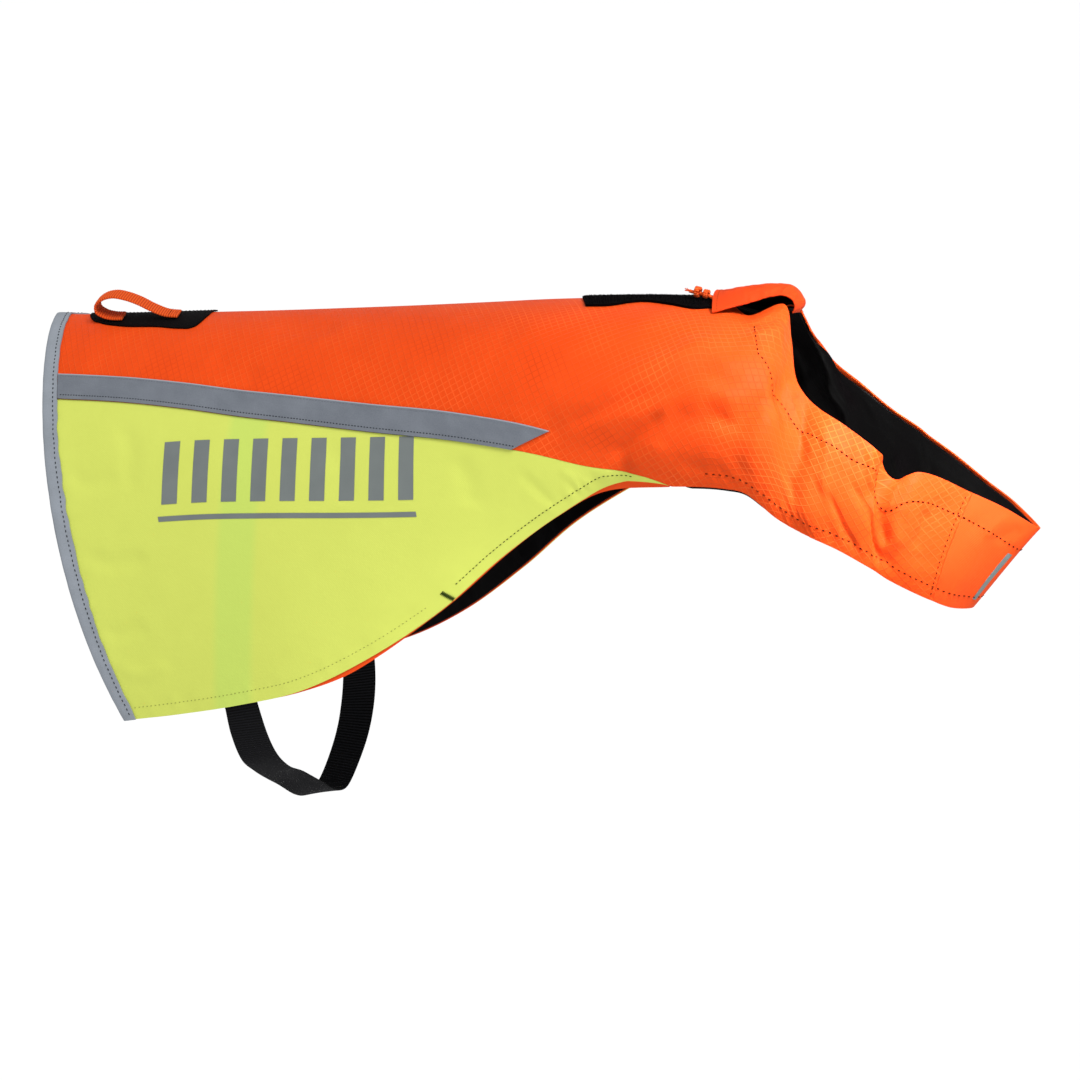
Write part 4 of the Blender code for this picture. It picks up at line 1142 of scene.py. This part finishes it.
# Its lighter colour is painted highlight on the ribs' tops, its darker one painted shade between
# them.
patch_weave = woven_band("black_webbing_cloth", "060405", "0B090A", 1.6 * MM, 0.8, 0.04)
patch_at = np.concatenate([lines(25, 36, 1.2), lines(36, 100, 2.2)[1:], lines(100, 114, 1.2)[1:]])
patch_reach = hermite(PATCH["at"], PATCH["reach"], patch_at)[:, None]
patch_rows = patch_reach * np.linspace(0, 1, 17)
patch_lift = GAP + PATCH_THICK
patch = coat_sheet("handle_patch_cloth",
                   [(patch_at[:, None], patch_rows, patch_lift, RIGHT),
                    (patch_at[:, None], PATCH_LEFT_SHARE * patch_rows, patch_lift, LEFT)],
                   PATCH_THICK, patch_weave)
fasten(patch, "black_webbing", "handle_patch")
black_thread = spun_thread("black_thread", "0B0A0B", "1B191A")
inside = lines(28.5, 110.5, 3.0)
reach = hermite(PATCH["at"], PATCH["reach"], inside) - 3.0
outline = [(at, off) for at, off in zip(inside, reach)]
outline += [(at, -off * PATCH_LEFT_SHARE) for at, off in zip(inside[::-1], reach[::-1])]
patch_stitches = stitches("handle_patch_stitches", outline, black_thread, spacing=2.8,
                          length=1.5, radius=0.25, lift=patch_lift)
fasten(patch_stitches, "black_webbing")


# The handle. Orange webbing stands in one arch over the patch, on the right slope of the
# crest. It curls under at its rear foot and is sewn down flat at its front end.
HANDLE_DOWN = 17.0
HANDLE_WIDTH = 18.0
HANDLE_THICK = 1.8

# The middle of the handle, as (at, rise over the patch).
HANDLE_RUN = ((92.5, 1.3), (84, 2.4), (74, 6.8), (65.5, 11.8), (57, 15.4), (48, 17.2),
              (40, 15.4), (34.6, 11.0), (34.2, 7.0), (38.5, 3.4), (45, 1.6), (52, 1.3))
HANDLE_SEWN = ((86.5, 0.9), (88.0, 0.45), (90.5, 0.1))


def smooth_run(rows, step):
    """Rows along a smooth curve through the rows of a table, even along the first three."""
    rows = np.array(rows, dtype=float)
    knots = passed_along(rows[:, :3])
    return hermite(knots, rows, lines(0, knots[-1], step))


def webbing(name, path, widths, width, thickness, rib, rib_height, material):
    """A flat woven band along a path, with rounded edges and ribs across it."""
    path = np.asarray(path)
    run = unit(np.gradient(path, axis=0))
    widths = unit(widths)
    up = unit(np.cross(run, widths))
    passed = passed_along(path)
    turn = np.linspace(0, math.tau, 48, endpoint=False)
    flat = np.sign(np.cos(turn)) * np.abs(np.cos(turn)) ** 0.5
    tall = np.sign(np.sin(turn)) * np.abs(np.sin(turn)) ** 0.35
    ribs = 1 - rib_height / thickness * (1 + np.cos(passed * math.tau / rib))
    rings = (path[:, None] + widths[:, None] * flat[None, :, None] * width / 2
             + up[:, None] * (tall[None, :] * ribs[:, None])[:, :, None] * thickness / 2)
    places = np.stack([np.repeat(passed, len(turn)), np.tile(flat * width / 2, len(path))], axis=1)
    return loft(name, rings, places, material, sharp=70)


# Its lighter colour is painted highlight on the ribs' tops, its darker one painted shade between
# them.
handle_weave = woven_band("orange_webbing_band", "B23810", "E45C22", 1.8 * MM, 0.8, 0.08)
handle_run = smooth_run(HANDLE_RUN, 0.45)
handle_lift = patch_lift + handle_run[:, 1]
handle_upper, handle_path, handle_lower = (
    cloth(handle_run[:, 0], HANDLE_DOWN + off, RIGHT, handle_lift)
    for off in (-HANDLE_WIDTH / 2, 0, HANDLE_WIDTH / 2))
handle = webbing("handle_loop_webbing", handle_path, handle_upper - handle_lower, HANDLE_WIDTH,
                 HANDLE_THICK + 0.5, 1.8, 0.35, handle_weave)
fasten(handle, "orange_webbing", "handle_loop")
foot_lift = patch_lift + 1.3 + HANDLE_THICK / 2
for i, (at, rise) in enumerate(HANDLE_SEWN):
    row = [(at, HANDLE_DOWN - 8), (at, HANDLE_DOWN), (at, HANDLE_DOWN + 8)]
    piece = stitches("handle_stitches_" + str(i + 1), row, brown_thread, spacing=1.6, length=1.2,
                     radius=0.3, lift=foot_lift + rise)
    fasten(piece, "orange_webbing")


# The loop strip. A black strip of loop fastener is sewn over the crest behind the slit, with
# a soft dull pile of short loose fibres, drawn thicker and fewer than real.
STRIP_REAR = 394.0
STRIP_FRONT = 482.0
STRIP_LEAN = 9.0
STRIP_LEFT = 9.0
STRIP_RIGHT = {"at": (394, 410, 431, 450, 469, 482), "down": (29, 29, 19, 25, 34, 27)}
STRIP_THICK = 1.6
PILE_ROWS = 60
PILE_ACROSS = 26
PILE_REACH = 43.0
PILE_LEAN = 1.6

# Its lighter colour is painted highlight on the ribs' tops, its darker one painted shade between
# them.
pile = woven_band("black_loop_pile", "050405", "0A0809", 1.1 * MM, 0.95, 0.02)
strip_at = lines(STRIP_REAR, STRIP_FRONT, 1.2)[:, None]
strip_lean = STRIP_LEAN * (STRIP_FRONT - strip_at) / (STRIP_FRONT - STRIP_REAR)
strip_reach = hermite(STRIP_RIGHT["at"], STRIP_RIGHT["down"], strip_at)
right_rows = np.linspace(0, 1, 22)
left_rows = np.linspace(0, 1, 8)
strip = coat_sheet("loop_strip_pile",
                   [(strip_at - strip_lean * (1 - right_rows), strip_reach * right_rows,
                     GAP + STRIP_THICK, RIGHT),
                    (strip_at - strip_lean + 0 * left_rows, STRIP_LEFT * left_rows + 0 * strip_at,
                     GAP + STRIP_THICK, LEFT)], STRIP_THICK, pile)
fasten(strip, "black_loop_pile", "loop_strip")
tufts = []
for i in range(PILE_ROWS):
    for j in range(PILE_ACROSS):
        jitter = noise.noise_vector((i * 0.73, j * 0.91, 2.2))
        at = STRIP_REAR + 1 + (STRIP_FRONT - STRIP_REAR - 2) * (i + 0.5 + jitter.x) / PILE_ROWS
        across = -STRIP_LEFT + PILE_REACH * (j + 0.5 + jitter.y) / PILE_ACROSS
        reach = float(hermite(STRIP_RIGHT["at"], STRIP_RIGHT["down"], at))
        lean = STRIP_LEAN * (STRIP_FRONT - at) / (STRIP_FRONT - STRIP_REAR)
        if -STRIP_LEFT + 0.8 < across < reach - 0.8:
            leant = at - lean * (1 - max(across, 0.0) / reach)
            tufts.append((leant, across, jitter.z, jitter.x))
tufts = np.array(tufts)
roots = over(tufts[:, 0], tufts[:, 1], GAP + STRIP_THICK - 0.2)
tips = over(tufts[:, 0] + PILE_LEAN * tufts[:, 2], tufts[:, 1] + PILE_LEAN * tufts[:, 3],
            GAP + STRIP_THICK + 0.55)
tuft_ups = np.broadcast_to(np.array([0.3, 0.9, 0.2]), roots.shape)
fibres = threads_between("loop_strip_fibres", roots, tips, tuft_ups, 0.2, pile)
fasten(fibres, "black_loop_pile")


# The neck tab. An orange flap, folded like a roof, bridges the slit. Its rear end is hemmed,
# its front end turns down at the neck edge, and it is lined with the black cloth.

# Rows across the tab from its rear end: its right edge, its ridge and its left edge.
TAB_RUN = (
    (30.5, -35, -2.0, 25, -10, 8.6, 24.5, 9.0, 5.4),
    (38, -29.5, 0.3, 34, -7, 10.6, 34.5, 16.0, 0.9),
    (48, -23.5, 3.2, 44, -4, 12.6, 44, 21.0, -2.2),
    (57, -18.5, 6.0, 55, 0, 13.8, 54, 22.0, -2.6),
    (65, -14.5, 8.2, 66, 4, 14.2, 64.5, 18.6, 1.9),
    (71.5, -11.5, 8.6, 73.5, 5, 12.6, 71, 17.0, 3.2),
    (76, -9, 5.6, 78.2, 5, 7.0, 77, 13.0, 3.4),
    (77, -8, 1.4, 79.2, 4, 1.8, 78, 10.0, 1.2),
    (75.2, -7, -1.4, 76.6, 2, -1.8, 75.8, 7.0, -2.0),
)
TAB_THICK = 1.4
TAB_CLOTH = 0.7
TAB_HEM = 3.4

# The tab's cloth is a darker copy of the chest's orange weave: the darkness is painted shade.
tab_weave = plain_weave("orange_plain_weave_painted_shade", "BC360E", "C83E12")
tab_rows = smooth_run(TAB_RUN, 0.8).reshape(-1, 3, 3)
tab_share = np.linspace(0, 1, 41)[None, :, None]
tab_right, tab_ridge, tab_left = (tab_rows[:, i, None] for i in range(3))
tab_bulge = (tab_ridge - (tab_right + tab_left) / 2) * 4 * tab_share * (1 - tab_share)
tab_base = tab_right + (tab_left - tab_right) * tab_share + tab_bulge
tab_normal = unit(np.cross(np.gradient(tab_base, axis=0), np.gradient(tab_base, axis=1)))
tab_along = passed_along(tab_ridge[:, 0])
tab_wide = np.linalg.norm(np.diff(tab_base, axis=1), axis=2).sum(axis=1)
tab_places = np.stack(np.broadcast_arrays(tab_along[:, None],
                                          tab_share[:, :, 0] * tab_wide[:, None]), axis=-1)
tab_waves = np.array([[noise.noise((a * 0.35, b * 3.0, 8.4)) for b in tab_share[0, :, 0]]
                      for a in tab_along])
tab_hem = ease((TAB_HEM - tab_along[:, None]) / 0.8)
tab_lift = TAB_THICK + 0.35 * tab_waves + 0.3 * tab_hem
tab_outer = tab_base + tab_normal * tab_lift[:, :, None]
tab_under_lift = (tab_lift - TAB_CLOTH - 0.3 * tab_hem)[:, :, None]
tab_inner = tab_base + tab_normal * tab_under_lift
tab = grid_sheet("neck_tab_cloth", tab_outer, tab_inner, tab_places, LEFT, tab_weave)
fasten(tab, "orange_plain_weave", "neck_tab")

# Its lining, which hangs down as a curtain at the left edge and gets shorter to the front.
under_high = tab_base + tab_normal * (tab_under_lift - 0.05)
under_low = tab_base + tab_normal * (0.15 * tab_waves)[:, :, None]
drop = np.arange(1, 9)[None, :, None]
shorter = 0.04 + 0.96 * ease((len(tab_rows) - 1 - np.arange(len(tab_rows))) / 26)[:, None, None]
turned_in = [edge[:, -2:-1] + drop * shorter * np.array([0, -0.45, -1.3])
             for edge in (under_high, under_low)]
under_high = np.concatenate([under_high[:, :-1], turned_in[0]], axis=1)[4:-4, 1:]
under_low = np.concatenate([under_low[:, :-1], turned_in[1]], axis=1)[4:-4, 1:]
under_places = np.stack(np.meshgrid(np.arange(under_high.shape[0]) * 0.8,
                                    np.arange(under_high.shape[1]) * 1.1, indexing="ij"), axis=-1)
tab_under = grid_sheet("neck_tab_lining", under_high, under_low, under_places, LEFT,
                       black_lining)
fasten(tab_under, "black_coated_lining")
hem_row = int(np.searchsorted(tab_along, TAB_HEM - 0.8))
picks = np.arange(1, tab_outer.shape[1] - 2, 2)
tab_stitches = threads_between("neck_tab_stitches", tab_outer[hem_row, picks],
                               tab_outer[hem_row, picks + 1], tab_normal[hem_row, picks], 0.28,
                               brown_thread)
fasten(tab_stitches, "orange_plain_weave")


# The slit's left edge, under the tab. It is bound with a narrow strip of the black lining.
SLIT_BINDING_PROFILE = ((6.0, 0.7), (0.3, 0.75), (-0.5, 0.3), (-0.5, -1.25), (-0.05, -1.25),
                        (-0.05, 0.15), (0.4, 0.2), (6.0, 0.2))
slit_profile = np.array(SLIT_BINDING_PROFILE)[::-1]
slit_rings = []
slit_places = []
for at in lines(488.5, 533.5, 1.5):
    slit_rings.append(cloth(at, slit_profile[:, 0], LEFT, slit_profile[:, 1]))
    slit_places.append(np.stack([np.full(len(slit_profile), at), slit_profile[:, 0]], axis=1))
slit_binding = loft("slit_binding", slit_rings, np.concatenate(slit_places), black_lining)
fasten(slit_binding, "black_coated_lining")


# The end of the drawcord. A thin orange cord leaves the tab, has two knots and ends frayed.
CORD_Y = -14
CORD_END = (
    (28, CORD_Y, 5.8, 1.0),
    (24.5, CORD_Y, 6.4, 1.3),
    (20, CORD_Y, 8.9, 3.0),
    (17, CORD_Y, 8.9, 2.3),
    (14, CORD_Y, 10.0, 3.8),
    (11.5, CORD_Y, 9.8, 2.0),
    (8.5, CORD_Y, 10.5, 1.4),
    (5.5, CORD_Y, 11.6, 0.7),
)
CORD_RADIUS = 1.15
KNOTS = ((20.0, -14.0, 8.9, 1.9, 2.4), (14.2, -14.0, 10.0, 2.6, 2.6))


def tube_rings(path, radius, sides):
    """Rings of points round a path, as thick as the radius at each of its points."""
    path = np.asarray(path)
    radius = np.broadcast_to(radius, len(path))
    run = np.gradient(path, axis=0)
    sideways = unit(np.cross(run, (0.05, 0.1, 1.0)))
    up = unit(np.cross(sideways, run))
    turn = np.linspace(0, math.tau, sides, endpoint=False)
    return path[:, None] + radius[:, None, None] * (
        np.cos(turn)[None, :, None] * sideways[:, None] + np.sin(turn)[None, :, None] * up[:, None])


def tubes(name, runs, material):
    """One object of several round closed tubes, each with its path, radius and sides."""
    points, faces, places = [], [], []
    start = 0
    for path, radius, sides in runs:
        rings = tube_rings(path, radius, sides)
        faces += round_faces(len(rings), sides, start)
        points.append(rings.reshape(-1, 3))
        round_it = np.linspace(0, 1, sides, endpoint=False) * math.tau * np.max(radius)
        places.append(np.stack([np.repeat(passed_along(path), sides),
                                np.tile(round_it, len(rings))], axis=1))
        start += len(rings) * sides
    return finish_mesh(name, np.concatenate(points), faces, np.concatenate(places), material, 80)


# Its lighter colour is painted highlight on the ribs' tops, its darker one painted shade between
# them.
cord_weave = woven_band("orange_braided_cord", "C03C14", "E8602A", 0.9 * MM, 0.85, 0.08)
cord_run = smooth_run(CORD_END, 0.4)
cord_core = cord_run[cord_run[:, 0] > 8.5]
cord_parts = [(cord_core[:, :3], np.minimum(cord_core[:, 3], CORD_RADIUS), 12)]
for x, y, z, ring, thick in KNOTS:
    turns = np.linspace(0, math.tau * 2.4, 60)
    along = (turns / turns[-1] - 0.5) * thick * 1.25
    lean = 0.5 * np.sin(turns)
    path = np.stack([x + along * 0.9 + lean, y + ring * np.cos(turns), z + ring * np.sin(turns)
                     - 0.15 * along], axis=1)
    cord_parts.append((path, np.full(60, 1.15), 8))
for i in range(14):
    lean = noise.noise_vector((i * 1.37, 0.4, 6.6))
    share = np.linspace(0, 1, 7)[:, None]
    root = np.array([9.4, -14.0, 10.3])
    tip = np.array([5.9 + 1.2 * lean.x, -14.0 + 2.4 * lean.y, 11.2 + 1.5 * lean.z])
    path = root + (tip - root) * share + np.array([0, 0.5 * lean.x, 0.5 * lean.y]) * share ** 2
    cord_parts.append((path, np.linspace(0.3, 0.14, 7), 5))
cord = tubes("drawcord_end_cord", cord_parts, cord_weave)
fasten(cord, "orange_webbing", "drawcord_end")


# The belly strap. Black 25 mm webbing is sewn inside both flanks and hangs between them in
# a loop that tips up and twists at its low end.
STRAP_WIDTH = 25.0
STRAP_THICK = 1.6
STRAP_AT_RIGHT = 99.0
STRAP_AT_LEFT = 108.5
STRAP_SEWN = 14.0

# The middle of the strap from flank to flank, as x, y and z, and the way that it is wide.
STRAP_RUN = (
    (-280, -82, -293, 25, 4, 4),
    (-280, -66, -313, 24, 6, 5),
    (-281, -45, -326, 24, 3, 5),
    (-281, -12, -341, 21, -3, 11),
    (-280, 14, -354, 21, -3, 12),
    (-282, 44, -364, 24, -4, 5),
    (-283, 66, -363, 24, -4, -1),
    (-279, 79, -345, 25, -2, -1),
    (-276, 87, -327, 25, 0, -1),
    (-274, 91, -308, 24, 3, 2),
)


def sewn_end(at, side):
    """Middle points and widths of the strap where it is sewn in behind a flank's edge."""
    lift = -SHELL - FACING - LINING - 3 * GAP - STRAP_THICK / 2
    rows = []
    for back_by in (STRAP_SEWN, STRAP_SEWN / 2, 0.0):
        ends = [cloth(at + across, depth(at + across, side) - back_by, side, lift)
                for across in (-STRAP_WIDTH / 2, STRAP_WIDTH / 2)]
        rows.append(np.concatenate([(ends[0] + ends[1]) / 2, ends[1] - ends[0]]))
    return rows


# Its lighter colour is painted highlight on the ribs' tops, its darker one painted shade between
# them.
strap_weave = woven_band("black_strap_webbing", "040404", "161619", 2.07 * MM, 0.7, 0.05)
strap_rows = sewn_end(STRAP_AT_RIGHT, RIGHT) + list(STRAP_RUN) + sewn_end(STRAP_AT_LEFT, LEFT)[::-1]
strap_run = smooth_run(strap_rows, 0.52)
strap = webbing("belly_strap_webbing", strap_run[:, :3], strap_run[:, 3:], STRAP_WIDTH,
                STRAP_THICK, 2.07, 0.26, strap_weave)
fasten(strap, "black_webbing", "belly_strap")
